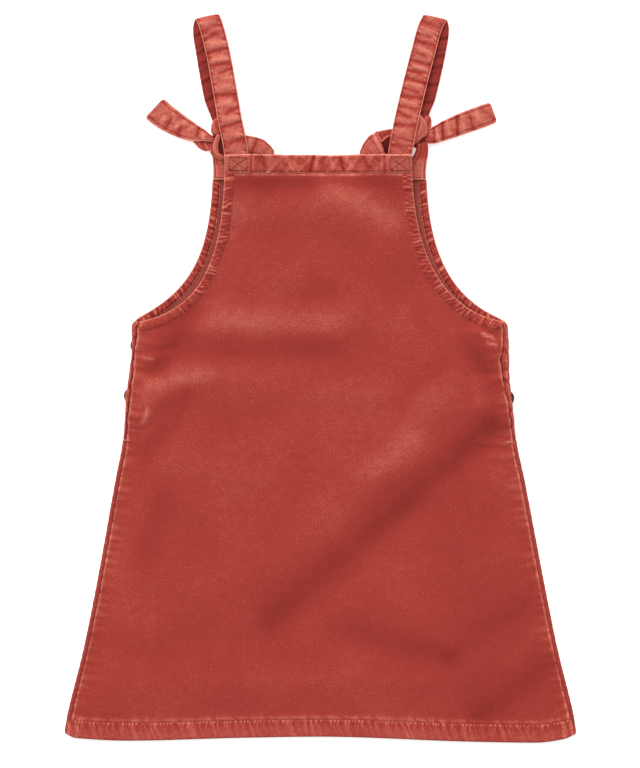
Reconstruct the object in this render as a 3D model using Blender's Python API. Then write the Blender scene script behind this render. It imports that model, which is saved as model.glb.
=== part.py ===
"""A child's needlecord pinafore dress, laid flat on its front with its back upwards.

Lengths below are millimetres of the garment: x runs across it, y up towards the straps, and z
up from the surface that it lies on. The front panel lies lowest, the back panel on top of it,
and each shoulder strap runs up from the back, folds over, comes down behind and is tied there
to a short tab on the front. Neighbouring pieces stay GAP apart.
"""

from collections import namedtuple

import bmesh
import bpy
import numpy as np

MM = 0.001
MIDDLE = (0.3, -0.2)        # the pattern's point that lies over the origin
GAP = 0.3

CLOTH = 1.2                 # one layer of needlecord
TURNING = 1.0               # what a turned and stitched edge adds to a layer
ARMHOLE_HEM = 6.5
TAB_FOOT = 168.5            # the front's turning is pressed flat from here up, under its tab
HEM = 15.0
TOP_BAND = 15.5
STRAP = 1.8                 # a strap is a folded tube, pressed flat
STRAP_WIDTH = 20.4
SEAM_LIP = 2.6              # the front comes round to the back at each side seam
SEAM_TOP = -54.0            # the side openings end here, and the side seams begin

BIB_TOP_BACK = 189.6
BIB_TOP_FRONT = 183.0
ARMHOLE_END = 48.0
HEM_LINE = -306.0

BUTTON_WIDTH = 13.0
BUTTON_HEIGHT = 3.0
BUTTON_LIFT_FLAT = 11.0     # the front is lifted level this far round a button
BUTTON_LIFT_REACH = 30.0

# Armholes as Bezier curves, x measured outwards from the middle: top, two handles, side corner.
FRONT_ARMHOLE = {
    "left": ((91.2, 183.0), (91.0, 91.9), (118.2, 70.5), (160.0, 48.0)),
    "right": ((90.5, 183.0), (89.5, 93.4), (120.5, 62.9), (159.3, 48.0)),
}
BACK_ARMHOLE = {
    "left": ((81.0, 189.6), (80.5, 92.0), (105.7, 57.9), (153.0, 48.0)),
    "right": ((77.9, 189.6), (77.5, 98.2), (109.1, 56.9), (155.2, 48.0)),
}

# How far each side edge lies from the middle.
Side = namedtuple("Side", "y left right")
FRONT_SIDES = (
    Side(48, 160.0, 159.3),
    Side(22, 160.0, 160.6),
    Side(2, 162.6, 161.0),
    Side(-26, 165.2, 164.0),
    Side(-54, 167.6, 167.0),
    Side(-87, 173.8, 173.8),
    Side(-172, 189.1, 190.0),
    Side(-223, 199.3, 200.2),
    Side(-291, 214.8, 215.6),
    Side(-306, 217.2, 217.8),
)
BACK_OPENING = (
    Side(48, 153.0, 155.2),
    Side(30, 156.3, 155.0),
    Side(12, 158.0, 153.1),
    Side(-5, 159.4, 155.9),
    Side(-21, 161.4, 159.0),
    Side(-38, 163.2, 161.8),
    Side(-54, 164.5, 163.9),
)

# How far the finished hem runs below or above HEM_LINE, across from the left (-1) to the right.
Dip = namedtuple("Dip", "across down")
HEM_DIPS = (
    Dip(-1.0, -4.4),
    Dip(-0.955, -0.2),
    Dip(-0.75, 2.1),
    Dip(-0.3, -0.4),
    Dip(0.0, -1.3),
    Dip(0.6, 3.0),
    Dip(0.84, 3.8),
    Dip(0.95, 0.8),
    Dip(1.0, -4.0),
)
HEM_DIPS_FROM = -240.0      # above this the cloth lies straight

# The back's largest soft folds: a ridge is above 0 and a trough below.
Fold = namedtuple("Fold", "from_x from_y to_x to_y height reach")
LOFT = 2.2                  # how far the back bellies up off the front between its edges
LOFT_MARGIN = 34.0
FOLDS = (
    Fold(145, -36, 68, -104, -1.7, 20),
    Fold(68, -104, -42, -206, -1.9, 24),
    Fold(72, -64, -25, -155, 2.2, 24),
    Fold(-112, 23, 92, 22, -1.9, 17),
    Fold(-100, 50, 92, 47, 1.5, 17),
    Fold(-152, -16, -98, 10, 1.6, 14),
    Fold(-104, 74, -150, 8, -1.3, 13),
    Fold(136, 24, 150, -8, -1.2, 13),
    Fold(-52, 168, 52, 168, -1.2, 9),
    Fold(0, 156, 24, 156, 1.2, 18),
    Fold(190, -226, 128, -276, -1.4, 15),
    Fold(184, -196, 110, -250, 1.6, 17),
    Fold(36, -224, 108, -246, -1.0, 14),
)

# How high the middle of a strap lies under the top band's corner: the knot holds it up.
Height = namedtuple("Height", "y z")
CORNER_HEIGHTS = (
    Height(110, 0.7),
    Height(140, 2.0),
    Height(158, 3.9),
    Height(173, 5.0),
    Height(182, 6.6),
    Height(189.6, 8.5),
)
CORNER_INSIDE = 22.0        # the band lies low inside this
CORNER_OUTSIDE = 56.0       # and at the strap's height outside this

# Straps, tails, loops and tabs are ribbons along rows of points. turn is the angle, in degrees,
# from the x axis to the line across the ribbon.
Row = namedtuple("Row", "x y z turn width")

STRAPS = {
    "left": (
        Row(-70.1, 172.9, 5.0, 2, STRAP_WIDTH),
        Row(-70.4, 182.0, 6.6, 2, STRAP_WIDTH),
        Row(-71.0, 190.0, 8.5, 4, STRAP_WIDTH),
        Row(-73.2, 204.0, 9.4, 8, STRAP_WIDTH),
        Row(-76.4, 219.0, 8.9, 10, STRAP_WIDTH),
        Row(-80.0, 240.0, 6.6, 11, STRAP_WIDTH),
        Row(-86.6, 276.0, 4.4, 12, STRAP_WIDTH),
        Row(-92.2, 298.0, 4.1, 12, STRAP_WIDTH),
        Row(-94.6, 304.6, 3.9, 12, STRAP_WIDTH),
        Row(-96.0, 306.6, 2.6, 12, STRAP_WIDTH),
        Row(-97.0, 304.6, 1.2, 12, STRAP_WIDTH),
        Row(-98.0, 298.0, 1.0, 12, STRAP_WIDTH),
        Row(-95.2, 277.0, 1.0, 11, STRAP_WIDTH),
        Row(-88.6, 240.0, 1.4, 10, STRAP_WIDTH),
        Row(-83.0, 222.8, 3.6, 8, 17),
    ),
    "right": (
        Row(67.2, 172.9, 5.0, -2, STRAP_WIDTH),
        Row(67.5, 182.0, 6.6, -2, STRAP_WIDTH),
        Row(68.0, 190.0, 8.5, -5, STRAP_WIDTH),
        Row(70.3, 204.0, 9.4, -10, STRAP_WIDTH),
        Row(73.3, 219.0, 8.9, -13, STRAP_WIDTH),
        Row(78.2, 240.0, 6.6, -14, STRAP_WIDTH),
        Row(87.4, 276.0, 4.4, -14, STRAP_WIDTH),
        Row(93.6, 298.0, 4.1, -13, STRAP_WIDTH),
        Row(96.6, 304.0, 3.9, -12, STRAP_WIDTH),
        Row(97.8, 306.0, 2.6, -12, STRAP_WIDTH),
        Row(98.8, 304.0, 1.2, -12, STRAP_WIDTH),
        Row(99.6, 298.0, 1.0, -11, STRAP_WIDTH),
        Row(96.6, 277.0, 1.0, -10, STRAP_WIDTH),
        Row(88.6, 241.0, 1.4, -9, STRAP_WIDTH),
        Row(83.8, 224.0, 3.6, -8, 16),
    ),
}
TABS = {
    "left": (
        Row(-80.6, 169.9, 2.9, 0, STRAP_WIDTH - 1),
        Row(-80.6, 176.0, 2.9, 0, STRAP_WIDTH - 1),
        Row(-81.0, 182.0, 3.2, 0, STRAP_WIDTH - 3),
        Row(-82.0, 185.6, 3.6, 0, 15),
    ),
    "right": (
        Row(80.0, 169.9, 2.9, 0, STRAP_WIDTH - 1),
        Row(80.2, 176.0, 2.9, 0, STRAP_WIDTH - 1),
        Row(82.0, 182.0, 3.2, 4, 17),
        Row(86.6, 188.0, 3.6, 12, 10),
        Row(86.4, 193.2, 3.8, 10, 10),
    ),
}
TAILS = {
    "left": (
        Row(-94.8, 201.4, 4.0, 86, 13.6),
        Row(-104.0, 205.6, 3.2, 62, 15),
        Row(-114.6, 210.6, 2.4, 50, 18),
        Row(-131.0, 221.4, 1.4, 49, 22),
        Row(-139.4, 228.0, 1.0, 46.5, 22.8),
    ),
    "right": (
        Row(93.2, 204.6, 4.2, 94, 13.6),
        Row(104.4, 209.0, 3.4, 98, 16.4),
        Row(122.6, 216.6, 2.2, 100, 18.4),
        Row(136.0, 221.4, 1.4, 104, 18.6),
        Row(147.2, 225.8, 1.0, 110, 17.8),
    ),
}
LOOP_CLOTH = 1.4
LOOPS = {
    "left": (
        Row(-69.6, 198.0, 1.7, 94, 15),
        Row(-62.0, 197.0, 1.5, 84, 15),
        Row(-51.0, 195.0, 1.5, 74, 15),
        Row(-43.0, 192.4, 1.9, 66, 13),
        Row(-40.2, 191.4, 3.1, 64, 12),
        Row(-43.6, 192.6, 4.3, 66, 12.4),
        Row(-51.0, 195.4, 4.7, 74, 14),
        Row(-62.0, 197.2, 4.7, 84, 14),
        Row(-69.6, 198.4, 4.6, 94, 13),
    ),
    "right": (
        Row(72.6, 203.4, 1.7, 86, 16),
        Row(64.0, 202.4, 1.5, 98, 19),
        Row(52.0, 199.4, 1.5, 112, 21),
        Row(42.0, 193.8, 1.9, 124, 17),
        Row(37.8, 191.2, 3.1, 128, 14),
        Row(42.0, 194.0, 4.3, 124, 16.4),
        Row(52.0, 199.6, 4.7, 112, 20),
        Row(64.0, 202.4, 4.7, 98, 18),
        Row(72.6, 203.4, 4.6, 86, 14),
    ),
}

# Each knot is a squat lump along its strap: along runs from its lower end (-1) to its upper.
Knot = namedtuple("Knot", "x y half_width half_length half_height")
KNOTS = {
    "left": Knot(-82.2, 204.0, 11.3, 17.4, 3.6),
    "right": Knot(82.9, 208.4, 9.4, 14.4, 3.4),
}
Girth = namedtuple("Girth", "along size")
KNOT_GIRTHS = (
    Girth(-1.0, 0.62),
    Girth(-0.88, 0.82),
    Girth(-0.55, 0.98),
    Girth(0.0, 1.0),
    Girth(0.55, 0.98),
    Girth(0.88, 0.82),
    Girth(1.0, 0.62),
)

# Buttons stand on the front's outer face, which lies down, and show past its edge.
Button = namedtuple("Button", "name x y")
BUTTONS = (
    Button("button_left_upper", -154.6, 27.6),
    Button("button_left_lower", -160.2, -15.0),
    Button("button_right_upper", 153.4, 27.6),
    Button("button_right_lower", 158.6, -17.0),
)

RUST = (0.397, 0.057, 0.042)
DULL_RUST = (0.33, 0.05, 0.038)
PALE_RUST = (0.46, 0.085, 0.06)
DARK_BROWN = (0.035, 0.018, 0.013)


def smooth(at, low, high):
    """0 below low, 1 above high, and an S-shaped climb between them."""
    t = np.clip((np.asarray(at, float) - low) / (high - low), 0, 1)
    return t * t * (3 - 2 * t)


def curve_through(positions, values, at):
    """A cubic through the values that never swings past them (Fritsch-Carlson slopes)."""
    x, v, at = (np.asarray(a, float) for a in (positions, values, at))
    run = np.diff(x)
    slope = np.diff(v) / run
    lean = np.zeros(len(x))
    lean[0], lean[-1] = slope[0], slope[-1]
    product, total = slope[:-1] * slope[1:], slope[:-1] + slope[1:]
    same = product > 0
    lean[1:-1][same] = 2 * product[same] / total[same]
    i = np.clip(np.searchsorted(x, at) - 1, 0, len(run) - 1)
    t = (at - x[i]) / run[i]
    ends = v[i] * (2 * t**3 - 3 * t**2 + 1) + v[i + 1] * (3 * t**2 - 2 * t**3)
    return ends + run[i] * (lean[i] * (t**3 - 2 * t**2 + t) + lean[i + 1] * (t**3 - t**2))


def read(table, column, at):
    """One column of a table, smoothed along its first column, which may run either way."""
    places = [row[0] for row in table]
    values = [getattr(row, column) for row in table]
    if places[0] > places[-1]:
        places, values = places[::-1], values[::-1]
    return curve_through(places, values, np.clip(at, places[0], places[-1]))


def armhole_at(curve, y):
    """How far out an armhole lies at height y."""
    top, upper, lower, end = (np.array(point) for point in curve)
    t = np.linspace(0, 1, 400)[:, None]
    points = (1 - t)**3 * top + 3 * (1 - t)**2 * t * upper
    points = points + 3 * (1 - t) * t**2 * lower + t**3 * end
    return np.interp(-np.asarray(y, float), -points[:, 1], points[:, 0])


def front_edge(side, y):
    out = np.where(np.asarray(y) >= ARMHOLE_END, armhole_at(FRONT_ARMHOLE[side], y),
                   read(FRONT_SIDES, side, y))
    return -out if side == "left" else out


def back_edge(side, y):
    seam = read(FRONT_SIDES, side, y) - SEAM_LIP - 2 * GAP
    below = np.where(np.asarray(y) <= SEAM_TOP, seam, read(BACK_OPENING, side, y))
    out = np.where(np.asarray(y) >= ARMHOLE_END, armhole_at(BACK_ARMHOLE[side], y), below)
    return -out if side == "left" else out


def button_lift(x, y, spread=0):
    """How far the buttons hold the cloth up: the layer on top spreads the lift wider."""
    lift = np.zeros(np.broadcast(x, y).shape)
    for button in BUTTONS:
        away = np.hypot(x - button.x, y - button.y) - spread
        near = 1 - smooth(away, BUTTON_LIFT_FLAT, BUTTON_LIFT_REACH)
        lift = np.maximum(lift, (BUTTON_HEIGHT + 2 * GAP) * near)
    return lift


def folds_at(x, y):
    """The back's soft ridges and troughs, each fading off to both sides and past its ends."""
    total = np.zeros(np.shape(x))
    for fold in FOLDS:
        start, end = np.array(fold[:2]), np.array(fold[2:4])
        span = end - start
        t = np.clip(((x - start[0]) * span[0] + (y - start[1]) * span[1]) / (span @ span), 0, 1)
        away = np.hypot(x - start[0] - t * span[0], y - start[1] - t * span[1])
        total += fold.height * np.exp(-(away / fold.reach)**2)
    return total


def corner_rise(x, y):
    """How far the knots and straps hold up the back panel's top corners."""
    over_front = read(CORNER_HEIGHTS, "z", y) + STRAP / 2 - CLOTH + 0.2
    outward = smooth(np.abs(x), CORNER_INSIDE, CORNER_OUTSIDE)
    return np.maximum(over_front, 0) * outward * smooth(y, 104, 150)


def spaced(*stations):
    """Heights from the first station down to the last: (height, steps to the next one)."""
    rows = []
    for (here, steps), (there, _) in zip(stations, stations[1:]):
        rows += list(np.linspace(here, there, steps, endpoint=False))
    return np.array(rows + [stations[-1][0]])


def panel_grid(edge, rows, insets, middle_columns):
    """Points over a panel: columns follow both edges at the insets, evenly spaced between."""
    left, right = edge("left", rows), edge("right", rows)
    inner_left, inner_right = left + insets[-1], right - insets[-1]
    columns = [left + inset for inset in insets]
    for part in np.linspace(0, 1, middle_columns + 2)[1:-1]:
        columns.append(inner_left + part * (inner_right - inner_left))
    columns += [right - inset for inset in insets[::-1]]
    x = np.stack(columns, axis=1)
    y = np.repeat(rows[:, None], x.shape[1], axis=1)
    across = x / np.abs(x).max(axis=1, keepdims=True)
    return x, y - read(HEM_DIPS, "down", across) * smooth(-y, -HEM_DIPS_FROM, -HEM_LINE)


def inset_of(edge, x, rows):
    """How far each point lies inside the nearer side edge."""
    left, right = edge("left", rows)[:, None], edge("right", rows)[:, None]
    return np.minimum(x - left, right - x)


def material(name, colour, roughness):
    made = bpy.data.materials.new(name)
    made.use_nodes = True
    shader = made.node_tree.nodes["Principled BSDF"]
    shader.inputs["Base Color"].default_value = (*colour, 1)
    shader.inputs["Roughness"].default_value = roughness
    shader.inputs["Metallic"].default_value = 0
    made.diffuse_color = (*colour, 1)
    return made


def add_object(name, points, faces, colour, roughness=0.9):
    """One closed body from points in millimetres, its faces turned outwards."""
    mesh = bpy.data.meshes.new(name)
    moved = (np.asarray(points, float) - (*MIDDLE, 0)) * MM
    mesh.from_pydata(moved.tolist(), [], faces)
    shape = bmesh.new()
    shape.from_mesh(mesh)
    bmesh.ops.recalc_face_normals(shape, faces=shape.faces)
    shape.to_mesh(mesh)
    shape.free()
    mesh.shade_smooth()
    mesh.set_sharp_from_angle(angle=np.radians(50))
    mesh.materials.append(material(name, colour, roughness))
    made = bpy.data.objects.new(name, mesh)
    bpy.context.collection.objects.link(made)
    return made


def panel_solid(name, x, y, under, over, colour):
    """A wall of cloth between two heights over the same grid."""
    rows, columns = x.shape
    count = rows * columns
    points = np.concatenate([np.stack([x, y, z], axis=2).reshape(-1, 3) for z in (over, under)])
    faces = []
    for r in range(rows - 1):
        for c in range(columns - 1):
            a, b = r * columns + c, (r + 1) * columns + c
            faces.append((a, b, b + 1, a + 1))
            faces.append((count + a, count + a + 1, count + b + 1, count + b))
    border = [c for c in range(columns)]
    border += [r * columns + columns - 1 for r in range(1, rows)]
    border += [(rows - 1) * columns + c for c in range(columns - 2, -1, -1)]
    border += [r * columns for r in range(rows - 2, 0, -1)]
    for a, b in zip(border, border[1:] + border[:1]):
        faces.append((a, b, count + b, count + a))
    return add_object(name, points, faces, colour)


def loft(name, rings, colour):
    """A closed body through rings of points, capped at both ends."""
    sections, around = len(rings), len(rings[0])
    faces = [tuple(range(around)), tuple((sections - 1) * around + i for i in range(around))]
    for s in range(sections - 1):
        for i in range(around):
            a, b = s * around + i, s * around + (i + 1) % around
            faces.append((a, b, b + around, a + around))
    return add_object(name, np.concatenate(rings), faces, colour)


def ribbon(name, rows, thickness, sections, colour):
    """A flat band with softened edges, lofted along a smooth curve through the rows."""
    steps = np.linalg.norm(np.diff([row[:3] for row in rows], axis=0), axis=1)
    places = np.concatenate([[0], np.cumsum(steps)])
    at = np.unique(np.concatenate([np.linspace(0, places[-1], sections), places]))
    x, y, z, turn, width = (curve_through(places, column, at) for column in zip(*rows))
    path = np.stack([x, y, z], axis=1)
    heading = np.gradient(path, at, axis=0)
    turn = np.radians(turn)
    side = np.stack([np.cos(turn), np.sin(turn), np.zeros(len(turn))], axis=1)
    upright = np.cross(side, heading)
    upright /= np.linalg.norm(upright, axis=1, keepdims=True)
    corners = ((-1, 0), (-0.92, 1), (0.92, 1), (1, 0), (0.92, -1), (-0.92, -1))
    rings = []
    for i in range(len(at)):
        ring = [path[i] + side[i] * width[i] / 2 * a + upright[i] * thickness / 2 * b
                for a, b in corners]
        rings.append(np.array(ring))
    return loft(name, rings, colour)


def front_over(x, y, inset):
    """The front panel's upper face: its own layer, armhole turnings and side seam lips."""
    height = button_lift(x, y) + CLOTH
    turned = (y > ARMHOLE_END) & (y < TAB_FOOT) & (inset <= ARMHOLE_HEM)
    lip = (y <= SEAM_TOP) & (inset <= SEAM_LIP)
    return height + TURNING * turned + (GAP + CLOTH) * lip


def make_front():
    rows = spaced((BIB_TOP_FRONT, 1), (TAB_FOOT, 1), (TAB_FOOT - 0.3, 3), (112, 4), (66, 3),
                  (50.5, 1), (ARMHOLE_END + 0.1, 1), (ARMHOLE_END - 0.1, 6), (-15, 3),
                  (SEAM_TOP + 0.2, 1), (SEAM_TOP, 6), (-245, 2), (-291, 1), (HEM_LINE, 0))
    x, y = panel_grid(front_edge, rows, (0, 1.2, SEAM_LIP, SEAM_LIP + 0.05, 6.5, 6.55, 13, 21, 31), 4)
    under = button_lift(x, y)
    over = front_over(x, rows[:, None], np.round(inset_of(front_edge, x, rows), 6))
    return panel_solid("front_panel", x, y, under, over, DULL_RUST)


def back_under(x, y, rows):
    """The back panel's lower face, clear of the front's turnings, the tabs and the straps."""
    inset = inset_of(back_edge, x, rows)
    belly = smooth(inset, 4, LOFT_MARGIN) * smooth(y - HEM_LINE, HEM, HEM + LOFT_MARGIN)
    belly = belly * (1 - smooth(y, BIB_TOP_BACK - TOP_BAND - 12, BIB_TOP_BACK))
    puff = np.maximum(LOFT + folds_at(x, y), 0) * belly
    turning = (TURNING + 0.2) * smooth(y, 36, 46) * (1 - smooth(inset, 4, 14))
    rest = button_lift(x, y, spread=5) + CLOTH + 1.5 * GAP + turning
    return rest + np.maximum(puff, corner_rise(x, y))


def make_back():
    rows = spaced((BIB_TOP_BACK, 2), (BIB_TOP_BACK - TOP_BAND, 1), (172, 4), (112, 4), (66, 3),
                  (50.5, 1), (ARMHOLE_END, 6), (-15, 3), (SEAM_TOP, 7), (-245, 2),
                  (HEM_LINE + HEM, 1), (HEM_LINE + HEM - 1, 1), (HEM_LINE, 0))
    x, y = panel_grid(back_edge, rows, (0, ARMHOLE_HEM, ARMHOLE_HEM + 1.5, 15, 24, 36), 7)
    inset = inset_of(back_edge, x, rows)
    under = back_under(x, y, rows)
    turned = (rows[:, None] > ARMHOLE_END - 1) & (inset <= ARMHOLE_HEM + 0.1)
    banded = rows[:, None] >= BIB_TOP_BACK - TOP_BAND - 0.1
    hemmed = rows[:, None] <= HEM_LINE + HEM - 0.9
    over = under + CLOTH + TURNING * (turned | banded | hemmed)
    return panel_solid("back_panel", x, y, under, over, RUST)


def make_placket(side):
    """The rolled facing along one side opening, on the front's inner face."""
    out = -1 if side == "left" else 1
    y = np.linspace(ARMHOLE_END - 3, SEAM_TOP + 3, 16)
    outer, inner = np.abs(front_edge(side, y)), np.abs(back_edge(side, y))
    width = np.clip(outer - inner - 2.5 * GAP, 1.6, 5.6)
    x = out * (outer - 0.4 - width / 2)
    z = button_lift(x, y, spread=3) + CLOTH + 2 * GAP + 1.15
    rows = [Row(*place, 0, w) for *place, w in zip(x, y, z, width)]
    return ribbon(f"placket_{side}", rows, 2.3, len(y), PALE_RUST)


def make_knot(side):
    """The strap and tab tied together, as one lump resting just off the surface."""
    knot = KNOTS[side]
    angles = np.linspace(0, 2 * np.pi, 14, endpoint=False)
    # a squared-off circle, so that the ribbons meet fairly flat faces
    square = np.stack([np.sign(np.cos(angles)) * np.abs(np.cos(angles))**0.6,
                       np.sign(np.sin(angles)) * np.abs(np.sin(angles))**0.6], axis=1)
    rings = []
    for girth in KNOT_GIRTHS:
        x = knot.x + square[:, 0] * knot.half_width * girth.size
        z = knot.half_height + GAP + square[:, 1] * knot.half_height * girth.size
        y = np.full(len(x), knot.y + girth.along * knot.half_length)
        rings.append(np.stack([x, y, z], axis=1))
    return loft(f"knot_{side}", rings, RUST)


def make_button(button):
    """A flat sew-through button with a rounded rim."""
    angles = np.linspace(0, 2 * np.pi, 24, endpoint=False)
    rings = []
    for radius, z in ((5.4, 0.0), (6.3, 0.6), (6.5, 1.3), (6.3, 2.3), (5.0, BUTTON_HEIGHT)):
        radius *= BUTTON_WIDTH / 13
        ring = [button.x + radius * np.cos(angles), button.y + radius * np.sin(angles)]
        rings.append(np.stack([*ring, np.full(len(angles), z)], axis=1))
    return loft(button.name, rings, DARK_BROWN)


def main():
    for old in list(bpy.data.objects):
        bpy.data.objects.remove(old)
    make_front()
    make_back()
    for side in ("left", "right"):
        make_placket(side)
        ribbon(f"strap_{side}", STRAPS[side], STRAP, 30, RUST)
        ribbon(f"tab_{side}", TABS[side], STRAP, 6, PALE_RUST)
        ribbon(f"tail_{side}", TAILS[side], STRAP, 10, PALE_RUST)
        ribbon(f"loop_{side}", LOOPS[side], LOOP_CLOTH, 16, RUST)
        make_knot(side)
    for button in BUTTONS:
        make_button(button)


main()
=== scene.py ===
import math

import bpy
import numpy as np
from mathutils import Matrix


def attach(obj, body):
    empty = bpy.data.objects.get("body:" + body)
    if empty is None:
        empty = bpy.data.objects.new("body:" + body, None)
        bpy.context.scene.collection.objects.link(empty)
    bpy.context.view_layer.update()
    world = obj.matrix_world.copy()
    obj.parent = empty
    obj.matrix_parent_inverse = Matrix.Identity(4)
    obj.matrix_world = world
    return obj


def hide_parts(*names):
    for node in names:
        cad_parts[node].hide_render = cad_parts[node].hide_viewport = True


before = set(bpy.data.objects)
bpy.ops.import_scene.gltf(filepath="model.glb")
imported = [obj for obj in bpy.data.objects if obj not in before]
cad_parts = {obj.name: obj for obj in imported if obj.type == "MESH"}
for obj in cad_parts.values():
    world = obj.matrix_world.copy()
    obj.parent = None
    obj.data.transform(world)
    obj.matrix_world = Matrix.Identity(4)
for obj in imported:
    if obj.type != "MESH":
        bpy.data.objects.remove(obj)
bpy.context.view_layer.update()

# ---------------------------------------------------------------------------------------------
# Camera, floor and light. The dress lies on a pale floor and is seen from straight above with a
# long lens. An even sky does half of the lighting, and one broad lamp beyond the straps, as far
# away as a sun, rakes over the cloth from there so that its creases show.
# ---------------------------------------------------------------------------------------------
VIEW_HEIGHT = 2.6
VIEW_LENGTH = 0.6528            # what the long side of the view takes in, on the floor
VIEW_MIDDLE = (-0.0003, -0.0049)
FLOOR_HALF = 4.0
FLOOR_DROP = 0.0002             # keeps the floor just clear of the cloth that lies on it

scene = bpy.context.scene
scene.view_settings.view_transform = "Standard"
camera = bpy.data.objects.new("camera", bpy.data.cameras.new("camera"))
camera.data.sensor_width = 36.0
camera.data.lens = camera.data.sensor_width * VIEW_HEIGHT / VIEW_LENGTH
camera.data.clip_end = 50.0
camera.location = (*VIEW_MIDDLE, VIEW_HEIGHT)
scene.collection.objects.link(camera)
scene.camera = camera

floor_mesh = bpy.data.meshes.new("floor")
floor_mesh.from_pydata([(x * FLOOR_HALF, y * FLOOR_HALF, -FLOOR_DROP)
                        for x, y in ((-1, -1), (1, -1), (1, 1), (-1, 1))], [], [(0, 1, 2, 3)])
floor = bpy.data.objects.new("floor", floor_mesh)
scene.collection.objects.link(floor)
floor_paint = bpy.data.materials.new("floor_paint")
floor_paint.use_nodes = True
floor_shader = floor_paint.node_tree.nodes["Principled BSDF"]
floor_shader.inputs["Base Color"].default_value = (0.95, 0.95, 0.95, 1)
floor_shader.inputs["Roughness"].default_value = 0.9
floor_shader.inputs["Emission Color"].default_value = (1, 1, 1, 1)
floor_shader.inputs["Emission Strength"].default_value = 0.42
floor_mesh.materials.append(floor_paint)

scene.world = bpy.data.worlds.new("studio")
scene.world.use_nodes = True
sky = scene.world.node_tree.nodes["Background"]
sky.inputs["Color"].default_value = (1.0, 0.995, 0.99, 1)
sky.inputs["Strength"].default_value = 0.72


def far_lamp(name, towards, spread, strength):
    """A sun lamp that lies in a direction from the dress, its disc spread over that angle."""
    lamp = bpy.data.objects.new(name, bpy.data.lights.new(name, "SUN"))
    lamp.data.angle = math.radians(spread)
    lamp.data.energy = strength
    flat = math.hypot(towards[0], towards[1])
    lamp.rotation_euler = (math.atan2(flat, towards[2]), 0, math.atan2(towards[0], -towards[1]))
    scene.collection.objects.link(lamp)


far_lamp("key_lamp", (-0.30, 0.85, 0.70), 45, 2.68)

# ---------------------------------------------------------------------------------------------
# Back panel. One layer of needlecord with deep armholes and a flared skirt. Its armholes and its
# bottom are turned under and stitched, and a band of the same cloth finishes its top, with each
# strap boxed in behind it. It lies on the front panel in soft folds.
# ---------------------------------------------------------------------------------------------
MM = 0.001
PATTERN_MIDDLE = (0.3, -0.2, 0)     # the pattern's point that lies over the origin
SIDES = (("left", -1), ("right", 1))
CLOTH = 1.2                         # one layer of needlecord
LAYER_GAP = 0.45                    # between the front's upper face and the back's lower one
PRESSED_GAP = 0.15                  # between a turning and the layer that it lies on
SEAM_LIP = 2.6                      # the front comes round to the back at each side seam
SEAM_GROOVE = 0.6                   # between that lip and the back's edge
SEAM_TOP = -54.0                    # the side openings end here, and the side seams begin
ARMHOLE_END = 48.0
ARMHOLE_HEM = 7.0
HEM_LINE = -306.0
HEM = 15.0
BIB_TOP = 189.6
TOP_BAND = 15.5
BACK_ARMHOLE = {
    "left": ((81.0, 189.6), (80.5, 92.0), (105.7, 57.9), (153.0, 48.0)),
    "right": ((77.9, 189.6), (77.5, 98.2), (109.1, 56.9), (155.2, 48.0)),
}
# y, then how far the left and the right edge lie from the middle
FRONT_SIDES = np.array([
    (48, 160.0, 159.3),
    (22, 160.0, 160.6),
    (2, 162.6, 161.0),
    (-26, 165.2, 164.0),
    (-54, 167.6, 167.0),
    (-87, 173.8, 173.8),
    (-172, 189.1, 190.0),
    (-223, 199.3, 200.2),
    (-291, 214.8, 215.6),
    (-306, 217.2, 217.8),
])
BACK_OPENING = np.array([
    (48, 153.0, 155.2),
    (30, 156.3, 155.0),
    (12, 158.0, 153.1),
    (-5, 159.4, 155.9),
    (-21, 161.4, 159.0),
    (-38, 163.2, 161.8),
    (-54, 164.5, 163.9),
])
# across from the left edge (-1) to the right, then how far the hem dips below HEM_LINE
HEM_DIPS = np.array([
    (-1.0, -4.4),
    (-0.955, -0.2),
    (-0.75, 2.1),
    (-0.3, -0.4),
    (0.0, -1.3),
    (0.6, 3.0),
    (0.84, 3.8),
    (0.95, 0.8),
    (1.0, -4.0),
])
HEM_DIPS_FROM = -240.0      # above this the cloth lies straight
LOFT = 2.2                  # how far the back bellies up off the front between its edges
LOFT_MARGIN = 34.0
# Soft folds: from x, y, to x, y, height (below 0 is a trough), reach to each side.
BACK_FOLDS = (
    (145, -36, 68, -104, -1.7, 20),
    (68, -104, -42, -206, -1.9, 24),
    (72, -64, -25, -155, 1.3, 24),
    (-112, 23, 30, 24, -1.5, 17),
    (-100, 50, 20, 47, 1.2, 17),
    (-152, -16, -98, 10, 1.6, 14),
    (-104, 74, -150, 8, -1.3, 13),
    (136, 24, 150, -8, -1.2, 13),
    (-52, 168, 52, 168, -1.2, 9),
    (0, 156, 24, 156, 1.2, 18),
    (190, -226, 128, -276, -1.4, 15),
    (184, -196, 110, -250, 1.6, 17),
    (36, -224, 108, -246, -1.0, 14),
)
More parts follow.
